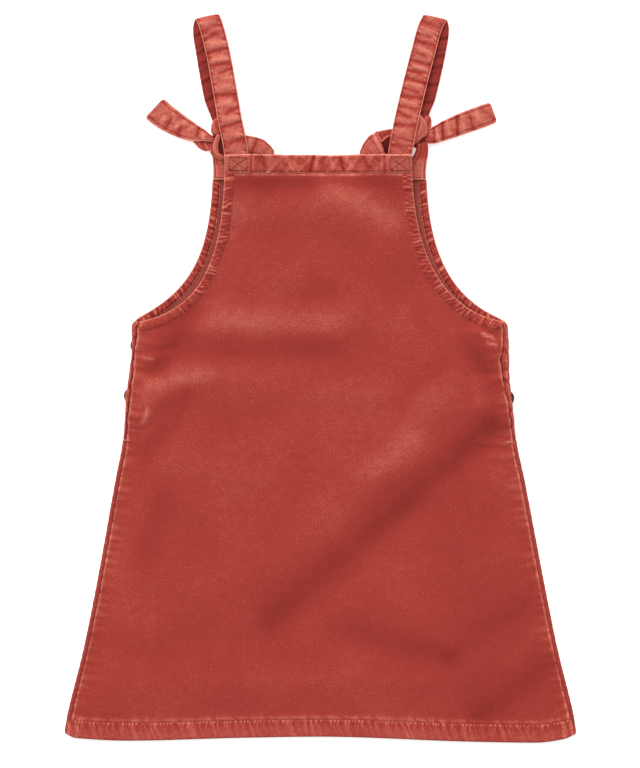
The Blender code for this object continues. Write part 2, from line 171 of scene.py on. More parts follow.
# Smaller creases, which lie in the cloth on top of the folds.
BACK_CREASES = (
    (-150, 22, -122, 26, -0.75, 2.6),
    (-150, 17, -126, 20, 0.55, 3.2),
    (-149, 38, -118, 52, -0.4, 6),
    (-150, -30, -122, -22, -0.45, 5),
    (-148, -46, -128, -38, 0.4, 4),
    (-144, -36, -150, -12, 0.4, 2.6),
    (-146, -62, -118, -40, -0.35, 8),
    (148, 36, 128, 50, -0.8, 3.4),
    (150, 30, 140, 33, 0.8, 2.4),
    (150, 12, 128, 18, -0.35, 5),
    (150, -10, 132, -2, 0.5, 4),
    (152, -26, 128, -18, -0.45, 5),
    (160, -56, 134, -54, 0.8, 1.6),
    (160, -60, 138, -60, -0.7, 1.5),
    (132, 40, 147, 34, 0.9, 1.5),
    (136, 32, 149, 30, -0.6, 1.4),
    (139, 26, 149, 25, 0.7, 1.3),
    (-158, -12, -146, -20, 0.5, 1.5),
    (-158, -34, -143, -30, 0.6, 1.4),
    (-142, -31, -152, -40, 0.5, 1.4),
    (161, -66, 142, -68, 0.5, 1.8),
    (-60, 140, 48, 146, 0.5, 12),
    (-70, 122, 30, 112, -0.5, 13),
    (20, 96, 86, 84, -0.45, 12),
    (-82, 92, -20, 84, 0.45, 12),
    (-30, 66, 70, 72, -0.4, 10),
    (-120, 6, -40, -8, 0.45, 10),
    (-90, -36, 10, -30, -0.5, 13),
    (-130, -70, -60, -84, 0.45, 13),
    (20, -10, 110, -22, 0.45, 12),
    (110, -70, 164, -96, 0.45, 11),
    (-160, -110, -96, -132, -0.45, 13),
    (96, -128, 170, -152, 0.45, 13),
    (-176, -160, -104, -176, 0.4, 12),
    (-120, -214, -30, -232, -0.45, 14),
    (10, -180, 96, -196, 0.45, 14),
    (-196, -220, -140, -236, -0.4, 12),
    (-90, -262, 10, -256, 0.4, 11),
    (60, -266, 130, -262, -0.35, 10),
    (40, -138, 84, -118, -0.35, 10),
)
# Streaks of painted shade along the folds' shaded slopes (below 0), and of painted highlight along
# lit ridges and small pucker crests by the buttons (above 0): from x, y, to x, y, lightness, reach.
BACK_STREAKS = (
    (145, -40, -42, -206, -0.22, 12),
    (150, -36, 112, -72, -0.14, 12),
    (192, -244, 136, -283, -0.24, 12),
    (170, -193, 111, -236, -0.20, 12),
    (111, -236, 9, -210, -0.13, 11),
    (128, 28, 149, -6, -0.22, 9),
    (-106, 53, -140, 11, -0.24, 11),
    (-110, 23, 9, 25, -0.15, 9),
    (-114, -15, -148, -62, -0.18, 9),
    (-131, -100, -153, -155, -0.15, 12),
    (-63, 164, -8, 164, -0.16, 9),
    (43, 172, 68, 159, -0.12, 8),
    (-4, 79, 4, 78, -0.12, 13),
    (102, 15, 68, -19, -0.10, 12),
    (118, -116, 150, -220, -0.10, 46),
    (-190, -215, 190, -215, -0.05, 90),
    (5, 164, 60, 134, 0.18, 10),
    (-102, 49, 9, 45, 0.13, 9),
    (-144, -6, -97, 2, 0.16, 7),
    (77, -53, 47, -79, 0.14, 10),
    (136, -19, 162, -15, 0.14, 7),
    (-72, 142, -80, 125, 0.12, 10),
    (162, -240, 187, -210, 0.12, 8),
    (138, 37, 147, 34, 0.60, 1.5),
    (142, 30, 149, 28, 0.55, 1.4),
    (-141, 16, -149, 17, 0.40, 1.4),
    (-146, -26, -150, -38, 0.40, 1.4),
)
# y, then the height of the back's top corners, which lie over the half bows
CORNER_HEIGHTS = np.array([
    (110, 0.7),
    (140, 2.0),
    (158, 3.9),
    (173, 5.0),
    (182, 6.6),
    (189.6, 8.5),
])
BUTTON_LIFT = 3.6
BUTTON_LIFT_FLAT = 11.0     # the cloth is lifted level this far round a button
BUTTON_LIFT_REACH = 30.0
BUTTON_PLACES = {
    "left_upper": (-154.6, 27.6),
    "left_lower": (-160.2, -15.0),
    "right_upper": (153.4, 27.6),
    "right_lower": (158.6, -17.0),
}


def smooth(at, low, high):
    """0 below low, 1 above high, and the S-shaped climb 3t^2 - 2t^3 between them."""
    t = np.clip((np.asarray(at, float) - low) / (high - low), 0, 1)
    return t * t * (3 - 2 * t)


def bell(away, reach):
    """1 at 0, falling to either side as exp(-(away / reach) squared)."""
    return np.exp(-(np.asarray(away, float) / reach)**2)


def curve_through(places, values, at):
    """A cubic through the values whose slope at each is the harmonic mean of its neighbours'."""
    x, v, at = (np.asarray(a, float) for a in (places, values, at))
    if x[0] > x[-1]:
        x, v = x[::-1], v[::-1]
    at = np.clip(at, x[0], x[-1])
    run = np.diff(x)
    slope = np.diff(v) / run
    lean = np.zeros(len(x))
    lean[0], lean[-1] = slope[0], slope[-1]
    product, total = slope[:-1] * slope[1:], slope[:-1] + slope[1:]
    same = product > 0
    lean[1:-1][same] = 2 * product[same] / total[same]
    i = np.clip(np.searchsorted(x, at) - 1, 0, len(run) - 1)
    t = (at - x[i]) / run[i]
    ends = v[i] * (2 * t**3 - 3 * t**2 + 1) + v[i + 1] * (3 * t**2 - 2 * t**3)
    return ends + run[i] * (lean[i] * (t**3 - 2 * t**2 + t) + lean[i + 1] * (t**3 - t**2))


def wander(at, length, seed):
    """A wavering value between about -1 and 1: four sines near that length, phases by seed."""
    at = np.asarray(at, float)
    total = np.zeros(at.shape)
    for k, (part, size) in enumerate(((1.0, 0.5), (0.63, 0.3), (1.71, 0.45), (0.37, 0.18))):
        phase = math.sin(seed * 12.9898 + k * 78.233) * 43758.5453
        total += np.sin(2 * np.pi * (at / (length * part) + phase % 1.0)) * size
    return total


def gathers(at, pitch, seed):
    """Uneven puckers from 0 to 1: a sine whose phase and height waver along the seam."""
    phase = at / pitch + 0.42 * wander(at, pitch * 7, seed) + 0.12 * wander(at, pitch * 2.3, seed + 5)
    ripple = 0.5 + 0.5 * np.sin(2 * np.pi * phase)
    return ripple * (0.66 + 0.34 * np.clip(wander(at, pitch * 4.1, seed + 9), -1, 1))


def armhole_curve(curve, count, outward):
    """Points along a Bezier armhole, evenly spaced; outward is -1 on the left, 1 on the right."""
    top, upper, lower, end = (np.array(point) for point in curve)
    t = np.linspace(0, 1, 600)[:, None]
    points = (1 - t)**3 * top + 3 * (1 - t)**2 * t * upper
    points = points + 3 * (1 - t) * t**2 * lower + t**3 * end
    along = np.concatenate([[0], np.cumsum(np.linalg.norm(np.diff(points, axis=0), axis=1))])
    at = np.linspace(0, along[-1], count)
    return np.stack([outward * np.interp(at, along, points[:, 0]),
                     np.interp(at, along, points[:, 1])], axis=1)


def armhole_at(curve, y):
    """How far an armhole's edge lies from the middle at each height, along its Bezier."""
    points = armhole_curve(curve, 500, 1)
    return np.interp(-np.asarray(y, float), -points[:, 1], points[:, 0])


def side_at(table, side, y):
    """How far a side edge lies from the middle at each height: a cubic through its table."""
    return curve_through(table[:, 0], table[:, 1 if side == "left" else 2], y)


def back_edge(side, y):
    """The back's edge: its armhole, then its rippled opening, then the side seam beside the lip."""
    y = np.asarray(y)
    seam = side_at(FRONT_SIDES, side, y) - SEAM_LIP - SEAM_GROOVE
    ripple = 0.65 * wander(y, 15, 21 if side == "left" else 22) * smooth(-np.abs(y), -52, -42)
    below = np.where(y <= SEAM_TOP, seam, side_at(BACK_OPENING, side, y) + 0.2 + ripple)
    out = np.where(y >= ARMHOLE_END, armhole_at(BACK_ARMHOLE[side], y), below)
    return -out if side == "left" else out


def distance_to(points, x, y):
    """How far each place lies from the nearest of a line's points."""
    away = np.full(np.shape(x), np.inf)
    for px, py in points:
        away = np.minimum(away, np.hypot(x - px, y - py))
    return away


def button_lift(x, y, spread=0):
    """How far the buttons under the front hold the cloth up, fading over 19 mm round each."""
    lift = np.zeros(np.broadcast(x, y).shape)
    for button_x, button_y in BUTTON_PLACES.values():
        away = np.hypot(x - button_x, y - button_y) - spread
        lift = np.maximum(lift, BUTTON_LIFT * (1 - smooth(away, BUTTON_LIFT_FLAT, BUTTON_LIFT_REACH)))
    return lift


def folds_at(folds, x, y):
    """Each fold is a bell across its line: height times exp(-(distance / reach) squared)."""
    total = np.zeros(np.broadcast(x, y).shape)
    for from_x, from_y, to_x, to_y, height, reach in folds:
        span_x, span_y = to_x - from_x, to_y - from_y
        t = ((x - from_x) * span_x + (y - from_y) * span_y) / (span_x**2 + span_y**2)
        t = np.clip(t, 0, 1)
        away = np.hypot(x - from_x - t * span_x, y - from_y - t * span_y)
        total += height * bell(away, reach)
    return total


def back_rest(x, y):
    """The height of the back panel's lower face: the front, the buttons, the knots, the folds."""
    inset = np.minimum(x - back_edge("left", y), back_edge("right", y) - x)
    for side, outward in SIDES:
        armhole = armhole_curve(BACK_ARMHOLE[side], 60, outward)
        inset = np.where(y > 40, np.minimum(inset, distance_to(armhole, x, y)), inset)
    belly = smooth(inset, 2, LOFT_MARGIN) * smooth(y - HEM_LINE, HEM, HEM + LOFT_MARGIN)
    belly = belly * (1 - smooth(y, BIB_TOP - TOP_BAND - 12, BIB_TOP))
    puff = np.maximum(LOFT + folds_at(BACK_FOLDS, x, y), 0) * belly
    outward = smooth(np.abs(x), 22, 56) * smooth(y, 104, 150)
    corner = (curve_through(CORNER_HEIGHTS[:, 0], CORNER_HEIGHTS[:, 1], y) - 0.1) * outward
    turning = 1.2 * smooth(y, 36, 46) * (1 - smooth(inset, 4, 14))
    return button_lift(x, y, spread=5) + CLOTH + LAYER_GAP + turning + np.maximum(puff, corner)


def seam_puckers(x, y):
    """Short creases that run in from both side seams, and up from the bottom hem."""
    left, right = x - back_edge("left", y), back_edge("right", y) - x
    inset = np.minimum(left, right)
    slant = y + 0.18 * inset
    rows = np.where(left < right, gathers(slant, 8.0, 3), gathers(slant, 8.0, 4)) - 0.45
    fine = np.where(left < right, gathers(slant, 4.1, 13), gathers(slant, 4.1, 14)) - 0.45
    below = 1 - smooth(y, 20, 46)
    from_seam = below * (0.9 * (1 - smooth(inset, 2, 18)) * rows + 0.4 * (1 - smooth(inset, 0, 6)) * fine)
    above_hem = (1 - smooth(y - HEM_LINE, HEM, HEM + 12)) * 0.5 * (gathers(x + 0.2 * y, 8.5, 6) - 0.45)
    return from_seam + above_hem


def edge_dense(count):
    """Places from -1 to 1 that crowd towards both ends."""
    t = np.linspace(-1, 1, count)
    return 0.45 * t + 0.55 * np.sin(t * np.pi / 2)


def hem_dip(x, y):
    """y moved down by the hem's own wavering line, from HEM_DIPS_FROM downwards."""
    across = np.where(x < 0, x / side_at(FRONT_SIDES, "left", y), x / side_at(FRONT_SIDES, "right", y))
    dip = curve_through(HEM_DIPS[:, 0], HEM_DIPS[:, 1], across)
    return y - dip * smooth(-y, -HEM_DIPS_FROM, -HEM_LINE)


def spread(left, right, places):
    """x from a left to a right edge, a row for each height, at places from -1 to 1 between them."""
    return ((left + right) / 2)[:, None] + ((right - left) / 2)[:, None] * places[None, :]


def grid_faces(rows, columns):
    """The quads of a grid of points, as an array."""
    r, c = np.meshgrid(np.arange(rows - 1), np.arange(columns - 1), indexing="ij")
    corner = r * columns + c
    quads = np.stack([corner, corner + columns, corner + columns + 1, corner + 1], axis=2)
    return quads.reshape(-1, 4)


def signed_volume(points, quads):
    """Six times the volume inside the quads: below 0 where they face inwards."""
    a, b, c, d = (points[quads[:, k]] for k in range(4))
    return np.einsum("ij,ij->", a, np.cross(b, c)) + np.einsum("ij,ij->", a, np.cross(c, d))


def shell(upper, lower, flat=None, worn=0.0, lower_worn=-0.3, finish=0, lower_finish=None):
    """A closed sheet between two grids of points, as (points, quads, flat, marks, finishes).

    flat is the cloth's own coordinates in mm; the marks are above 0 where the cloth has paled with
    use or carries a painted highlight, and below 0 where it keeps its deepest colour or carries
    painted shade in troughs, creases, hollows and gaps."""
    rows, columns = upper.shape[:2]
    count = rows * columns
    points = np.concatenate([upper.reshape(-1, 3), lower.reshape(-1, 3)])
    rim = np.concatenate([np.arange(columns), np.arange(1, rows) * columns + columns - 1,
                          (rows - 1) * columns + np.arange(columns - 2, -1, -1),
                          np.arange(rows - 2, 0, -1) * columns])
    after = np.roll(rim, -1)
    top = grid_faces(rows, columns)
    sides = np.stack([after, rim, rim + count, after + count], axis=1)
    quads = np.concatenate([top, top[:, ::-1] + count, sides])
    if signed_volume(points - points.mean(axis=0), quads) < 0:
        quads = quads[:, ::-1]
    flat = upper[..., :2] if flat is None else flat
    flat = np.concatenate([flat.reshape(-1, 2)] * 2)
    worn = np.concatenate([np.broadcast_to(face, (rows, columns)).ravel() for face in (worn, lower_worn)])
    finishes = np.full(len(quads), finish)
    finishes[len(top):] = finish if lower_finish is None else lower_finish
    return points, quads, flat, worn, finishes


def layered(x, y, top, bottom, **marks):
    """A shell between two heights over the same grid of x and y."""
    x, y, top, bottom = np.broadcast_arrays(x, y, top, bottom)
    return shell(np.stack([x, y, top], axis=2), np.stack([x, y, bottom], axis=2), **marks)


def stitches(line, pitch=3.0, length=2.2, thread=0.5, finish=1, start=0.5, wear_and_shade=0.0):
    """A row of stitches along a line of 3-D points: each is a six-sided bar with blunt ends."""
    steps = np.linalg.norm(np.diff(line, axis=0), axis=1)
    places = np.concatenate([[0], np.cumsum(steps)])
    heads = np.arange(start, places[-1] - length, pitch)
    at = heads[:, None] + np.array([0, 0.18, 0.82, 1.0]) * length
    centres = np.stack([np.interp(at, places, line[:, k]) for k in range(3)], axis=2)
    centres[:, [0, 3], 2] -= 0.3 * thread
    heading = centres[:, -1] - centres[:, 0]
    heading /= np.linalg.norm(heading, axis=1, keepdims=True)
    side = np.stack([-heading[:, 1], heading[:, 0], np.zeros(len(heads))], axis=1)
    side /= np.linalg.norm(side, axis=1, keepdims=True)
    above = np.cross(heading, side)
    turn = np.arange(6) * np.pi / 3
    girth = np.array([0.35, 1, 1, 0.35])[None, :, None, None] * thread / 2
    ring = (np.cos(turn)[None, None, :, None] * side[:, None, None, :]
            + np.sin(turn)[None, None, :, None] * above[:, None, None, :])
    points = (centres[:, :, None, :] + girth * ring).reshape(-1, 3)
    around = np.arange(6)
    wall = np.concatenate([np.stack([k * 6 + around, k * 6 + (around + 1) % 6,
                                     (k + 1) * 6 + (around + 1) % 6, (k + 1) * 6 + around], axis=1)
                           for k in range(3)])
    caps = np.array([[0, 5, 4, 3], [0, 3, 2, 1], [18, 19, 20, 21], [18, 21, 22, 23]])
    quads = np.concatenate([wall, caps])
    quads = (np.arange(len(heads))[:, None, None] * 24 + quads).reshape(-1, 4)
    if len(heads) and signed_volume(points[:24] - points[:24].mean(axis=0), quads[:len(wall) + 4]) < 0:
        quads = quads[:, ::-1]
    return points, quads, points[:, :2], np.full(len(points), wear_and_shade), np.full(len(quads), finish)


def straight(start, end, height, count=60):
    """A line of 3-D points between two places, at the height that a function gives."""
    t = np.linspace(0, 1, count)
    x = start[0] + (end[0] - start[0]) * t
    y = start[1] + (end[1] - start[1]) * t
    return np.stack(np.broadcast_arrays(x, y, height(x, y)), axis=1)


def lying_on(x, y, top, lift=0.05):
    """A line of 3-D points for stitches, lifted a little off the cloth that it lies on."""
    return np.stack([x, y, top + lift], axis=1)


def add_piece(name, parts, finishes):
    """One mesh piece from its parts, in mm, with cloth coordinates and an attribute of paling with use,
    painted shade and painted highlights.
    """
    points, quads, flat, worn, kinds = [], [], [], [], []
    count = 0
    for part_points, part_quads, part_flat, part_worn, part_kinds in parts:
        points.append(part_points)
        quads.append(part_quads + count)
        flat.append(part_flat)
        worn.append(part_worn)
        kinds.append(part_kinds)
        count += len(part_points)
    quads = np.concatenate(quads)
    mesh = bpy.data.meshes.new(name)
    mesh.vertices.add(count)
    placed = (np.concatenate(points) - PATTERN_MIDDLE) * MM
    mesh.vertices.foreach_set("co", placed.astype(np.float32).ravel())
    mesh.loops.add(quads.size)
    mesh.loops.foreach_set("vertex_index", quads.astype(np.int32).ravel())
    mesh.polygons.add(len(quads))
    mesh.polygons.foreach_set("loop_start", np.arange(0, quads.size, 4, dtype=np.int32))
    for finish in finishes:
        mesh.materials.append(finish)
    mesh.polygons.foreach_set("material_index", np.concatenate(kinds).astype(np.int32))
    mesh.update(calc_edges=True)
    layer = mesh.uv_layers.new(name="cloth")
    layer.data.foreach_set("uv", np.concatenate(flat)[quads.ravel()].astype(np.float32).ravel())
    wear_and_shade = mesh.attributes.new("worn", "FLOAT", "POINT")
    wear_and_shade.data.foreach_set("value", np.concatenate(worn).astype(np.float32))
    mesh.shade_smooth()
    mesh.validate()
    piece = bpy.data.objects.new(name, mesh)
    scene.collection.objects.link(piece)
    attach(piece, "root")
    return piece


def new_node(tree, kind, **settings):
    """A node of that kind, with its settings made."""
    node = tree.nodes.new(kind)
    for key, value in settings.items():
        setattr(node, key, value)
    return node


def feed(tree, node, **sources):
    """Feeds a node's inputs, given by position as i0, i1 and so on, and gives its first output."""
    for key, source in sources.items():
        socket = node.inputs[int(key[1:])]
        if isinstance(source, bpy.types.NodeSocket):
            tree.links.new(source, socket)
        else:
            socket.default_value = source
    return node.outputs[0]


def calculate(tree, operation, first, second=0.5, third=0.5, clamp=False):
    """One step of arithmetic on values that change over the surface."""
    node = new_node(tree, "ShaderNodeMath", operation=operation, use_clamp=clamp)
    return feed(tree, node, i0=first, i1=second, i2=third)


def blend_colours(tree, share, first, second):
    """From the first colour at share 0 to the second at share 1."""
    node = new_node(tree, "ShaderNodeMix", data_type="RGBA")
    feed(tree, node, i0=share, i6=first, i7=second)
    return node.outputs[2]


def noise(tree, where, scale, detail, roughness=0.5):
    """Cloudy noise around 0.5 at that scale."""
    node = new_node(tree, "ShaderNodeTexNoise")
    feed(tree, node, i0=where, i2=scale, i3=detail, i4=roughness)
    return node.outputs["Fac"]


def stretched(tree, where, across, along, shift=0.0):
    """Coordinates scaled by their own amount across and along the cloth, and moved."""
    node = new_node(tree, "ShaderNodeMapping")
    feed(tree, node, i0=where)
    node.inputs["Scale"].default_value = (across, along, 1)
    node.inputs["Location"].default_value = (shift, shift * 0.7, 0)
    return node.outputs[0]


def make_nap_group():
    """Velvety needlecord: wales, brushed pile, clouds of fading, edges pale from rubbing, painted shade
    and highlights, and lint.

    It reads the piece's cloth coordinates, in mm, and its attribute of paling with use, painted shade
    and painted highlights. Lightness is a sum of noises and that attribute; above 0 it mixes
    towards the pale colour and below 0 towards the deep one."""
    group = bpy.data.node_groups.new("needlecord nap", "ShaderNodeTree")
    for name, kind, start in (("Cloth", "NodeSocketColor", (0.4, 0.06, 0.045, 1)),
                              ("Fade_and_light", "NodeSocketColor", (0.7, 0.25, 0.18, 1)),
                              ("Deep", "NodeSocketColor", (0.2, 0.02, 0.02, 1)),
                              ("Wale pitch", "NodeSocketFloat", 1.2),
                              ("Wale depth", "NodeSocketFloat", 1.0),
                              ("Clouding", "NodeSocketFloat", 1.0),
                              ("Lint", "NodeSocketFloat", 1.0)):
        group.interface.new_socket(name, in_out="INPUT", socket_type=kind).default_value = start
    for name, kind in (("Colour", "NodeSocketColor"), ("Roughness", "NodeSocketFloat"),
                       ("Height", "NodeSocketFloat")):
        group.interface.new_socket(name, in_out="OUTPUT", socket_type=kind)
    given = new_node(group, "NodeGroupInput")
    result = new_node(group, "NodeGroupOutput")
    cloth = new_node(group, "ShaderNodeTexCoord").outputs["UV"]
    wear_and_shade = new_node(group, "ShaderNodeAttribute", attribute_name="worn").outputs["Fac"]

    split = new_node(group, "ShaderNodeSeparateXYZ")
    across = feed(group, split, i0=cloth)
    drift = noise(group, stretched(group, cloth, 0.12, 0.02), 1.0, 2.0)
    turns = calculate(group, "DIVIDE", across, given.outputs["Wale pitch"])
    turns = calculate(group, "MULTIPLY_ADD", drift, 1.6, turns)
    wale = calculate(group, "SINE", calculate(group, "MULTIPLY", turns, 2 * math.pi))
    wale = calculate(group, "MULTIPLY_ADD", wale, 0.5, 0.5)
    streak = noise(group, stretched(group, cloth, 0.62, 0.05, 3.0), 1.0, 3.0, 0.65)
    pile = noise(group, cloth, 0.85, 3.0, 0.75)
    cloud = noise(group, cloth, 0.016, 3.0, 0.5)
    patch = noise(group, stretched(group, cloth, 1.0, 1.3, 40.0), 0.13, 3.0, 0.6)
    cells = new_node(group, "ShaderNodeTexVoronoi", feature="F1")
    feed(group, cells, i0=stretched(group, cloth, 0.30, 0.2, 11.0))
    cells.inputs["Scale"].default_value = 1.0
    fleck = calculate(group, "LESS_THAN", cells.outputs["Distance"], 0.085)
    fleck = calculate(group, "MULTIPLY", fleck, given.outputs["Lint"])

    light = calculate(group, "MULTIPLY_ADD", cloud, 0.34, -0.17)
    light = calculate(group, "MULTIPLY_ADD", patch, 0.24, light)
    light = calculate(group, "ADD", light, -0.12)
    light = calculate(group, "MULTIPLY", light, given.outputs["Clouding"])
    light = calculate(group, "MULTIPLY_ADD", streak, 0.10, light)
    light = calculate(group, "MULTIPLY_ADD", pile, 1.15, light)
    light = calculate(group, "MULTIPLY_ADD", wale, 0.05, light)
    light = calculate(group, "ADD", light, -0.655)
    rub = calculate(group, "MULTIPLY_ADD", pile, 1.6, -0.1)
    rub = calculate(group, "MULTIPLY_ADD", patch, 0.6, rub)
    # Above 0 the attribute pales the cloth, scaled by the pile: paling from rubbing, and painted highlights
    # on fold ridges and crests.
    rubbed_and_highlit = calculate(group, "MULTIPLY", calculate(group, "MAXIMUM", wear_and_shade, 0.0), rub)
    light = calculate(group, "ADD", light, rubbed_and_highlit)
    # Below 0 it darkens the cloth: painted shade in troughs, creases, hollows and gaps, and the cloth's own
    # deepest colour.
    light = calculate(group, "ADD", light, calculate(group, "MINIMUM", wear_and_shade, 0.0))
    light = calculate(group, "MULTIPLY_ADD", fleck, 0.42, light)
    paler = calculate(group, "MULTIPLY", light, 1.0, clamp=True)
    darker = calculate(group, "MULTIPLY", light, -1.0, clamp=True)
    colour = blend_colours(group, paler, given.outputs["Cloth"], given.outputs["Fade_and_light"])
    colour = blend_colours(group, darker, colour, given.outputs["Deep"])
    group.links.new(colour, result.inputs["Colour"])
    rough = calculate(group, "MULTIPLY_ADD", pile, 0.12, 0.82, clamp=True)
    group.links.new(rough, result.inputs["Roughness"])
    ribs = calculate(group, "MULTIPLY", wale, given.outputs["Wale depth"])
    height = calculate(group, "MULTIPLY_ADD", pile, 1.4, ribs)
    group.links.new(height, result.inputs["Height"])
    return group


NAP = make_nap_group()


def cord_material(name, cloth, fade_and_light, deep, pitch=1.2, depth=0.7, clouding=1.0, lint=1.0, bump=0.3):
    """Needlecord in its own colours. The sheen is the light that the tips of the pile catch."""
    made = bpy.data.materials.new(name)
    made.use_nodes = True
    tree = made.node_tree
    shader = tree.nodes["Principled BSDF"]
    nap = new_node(tree, "ShaderNodeGroup", node_tree=NAP)
    for socket, value in (("Cloth", (*cloth, 1)), ("Fade_and_light", (*fade_and_light, 1)), ("Deep", (*deep, 1)),
                          ("Wale pitch", pitch), ("Wale depth", depth), ("Clouding", clouding),
                          ("Lint", lint)):
        nap.inputs[socket].default_value = value
    relief = new_node(tree, "ShaderNodeBump")
    relief.inputs["Strength"].default_value = bump
    relief.inputs["Distance"].default_value = 0.0003
    tree.links.new(nap.outputs["Height"], relief.inputs["Height"])
    tree.links.new(nap.outputs["Colour"], shader.inputs["Base Color"])
    tree.links.new(nap.outputs["Roughness"], shader.inputs["Roughness"])
    tree.links.new(relief.outputs["Normal"], shader.inputs["Normal"])
    shader.inputs["Sheen Weight"].default_value = 0.22
    shader.inputs["Sheen Roughness"].default_value = 0.4
    shader.inputs["Sheen Tint"].default_value = (0.9, 0.40, 0.32, 1)
    shader.inputs["Specular IOR Level"].default_value = 0.12
    return made


# The pale rust is the colour of paling with use and of painted highlights; the deep rust is the cloth's
# darkest colour and that of painted shade.
RUST = (0.332, 0.038, 0.0278)
RUST_RUBBED = (0.345, 0.041, 0.031)
RUST_FADE_AND_LIGHT = (0.72, 0.235, 0.165)
RUST_DEEP = (0.085, 0.004, 0.005)
needlecord = cord_material("needlecord", RUST, RUST_FADE_AND_LIGHT, RUST_DEEP)
thread = cord_material("sewing thread", (0.17, 0.014, 0.012), (0.40, 0.09, 0.07),
                       (0.06, 0.005, 0.005), pitch=0.4, depth=0.6, clouding=0.3, lint=0.0)
faded_thread = cord_material("faded thread", (0.38, 0.062, 0.046), (0.66, 0.22, 0.16), RUST_DEEP,
                             pitch=0.4, depth=0.6, clouding=0.3, lint=0.0)

# The single layer, drawn in a little where a hem or band covers its edge.
rows = np.linspace(BIB_TOP - 6, HEM_LINE + 6, 226)
covered = 1.2 * smooth(rows, 44, 50)
x = spread(back_edge("left", rows) + covered, back_edge("right", rows) - covered, edge_dense(140))
y = np.repeat(rows[:, None], x.shape[1], axis=1)
inset = np.minimum(x - back_edge("left", y), back_edge("right", y) - x)
hemmed = np.full(x.shape, np.inf)
for side, outward in SIDES:
    armhole = armhole_curve(BACK_ARMHOLE[side], 160, outward)
    hemmed = np.minimum(hemmed, distance_to(armhole, x, y))
under_hem = 0.6 * (1 - smooth(hemmed, ARMHOLE_HEM - 2.2, ARMHOLE_HEM - 0.8)) * (y > 47)
under_band = 0.6 * smooth(y, BIB_TOP - TOP_BAND, BIB_TOP - TOP_BAND + 1.5)
under_bottom = 0.6 * (1 - smooth(y - HEM_LINE, HEM - 1.6, HEM - 0.4))
rolled = (1 - smooth(inset, 0, 2.2)) * (1 - smooth(y, 44, 50)) * (0.6 + 0.4 * smooth(y, -56, -50))
lumps = (1 - smooth(inset, 1, 5.5)) * smooth(y, -56, -50) * (1 - smooth(y, 44, 50))
lumps = lumps * np.where(x < 0, gathers(y + 0.4 * inset, 6.5, 31), gathers(y + 0.4 * inset, 6.5, 32))
top = (back_rest(x, y) + CLOTH + folds_at(BACK_CREASES, x, y) + seam_puckers(x, y)
       + 0.7 * lumps - 1.0 * rolled**2 - under_hem - under_band - under_bottom)
relief = folds_at(BACK_FOLDS, x, y) * smooth(inset, 0, 20) + 1.6 * folds_at(BACK_CREASES, x, y)
seam_line = bell(inset - 1.0, 0.95) * (1 - smooth(y, -52, -44))
opening_line = bell(inset - 0.8, 0.9) * smooth(y, -52, -44) * (1 - smooth(y, 46, 50))
below_band = bell(y - (BIB_TOP - TOP_BAND - 1.2), 0.9)
above_hem = bell(y - (HEM_LINE + HEM + 2.2), 1.4)
# The back's marks: fold and crease ridges pale from rubbing, with painted shade in their troughs; the
# streaks are painted shade and highlights; the seams, the opening, the rolled lumps, the ridge under the
# band, the line over the hem and the puckers' crests pale from rubbing, with painted shade in the puckers'
# troughs; the bell 8 mm below the band is painted shade under it.
worn = (0.045 * relief + folds_at(BACK_STREAKS, x, y) + 0.08 * bell(inset, 8) * (y < ARMHOLE_END)
        + 0.74 * seam_line * (0.75 + 0.35 * wander(y, 6, 41))
        + 0.55 * opening_line * (0.8 + 0.4 * wander(y, 17, 42))
        + 0.32 * seam_puckers(x, y) + 0.45 * lumps * rolled
        + 0.62 * below_band * (0.8 + 0.35 * wander(x, 22, 43))
        - 0.16 * bell(y - (BIB_TOP - TOP_BAND - 8), 4.5)
        + 0.42 * above_hem * (0.7 + 0.5 * wander(x, 9, 44)))
back_parts = [layered(x, hem_dip(x, y), top, back_rest(x, y) - 0.3 * under_hem,
                      worn=worn, flat=np.stack([x, y], axis=2))]


def edge_round(t, share):
    """A quarter circle up from 0 over the first share of t, then level at 1."""
    return np.sqrt(np.clip(1 - (1 - np.clip(t / share, 0, 1))**2, 0, 1))


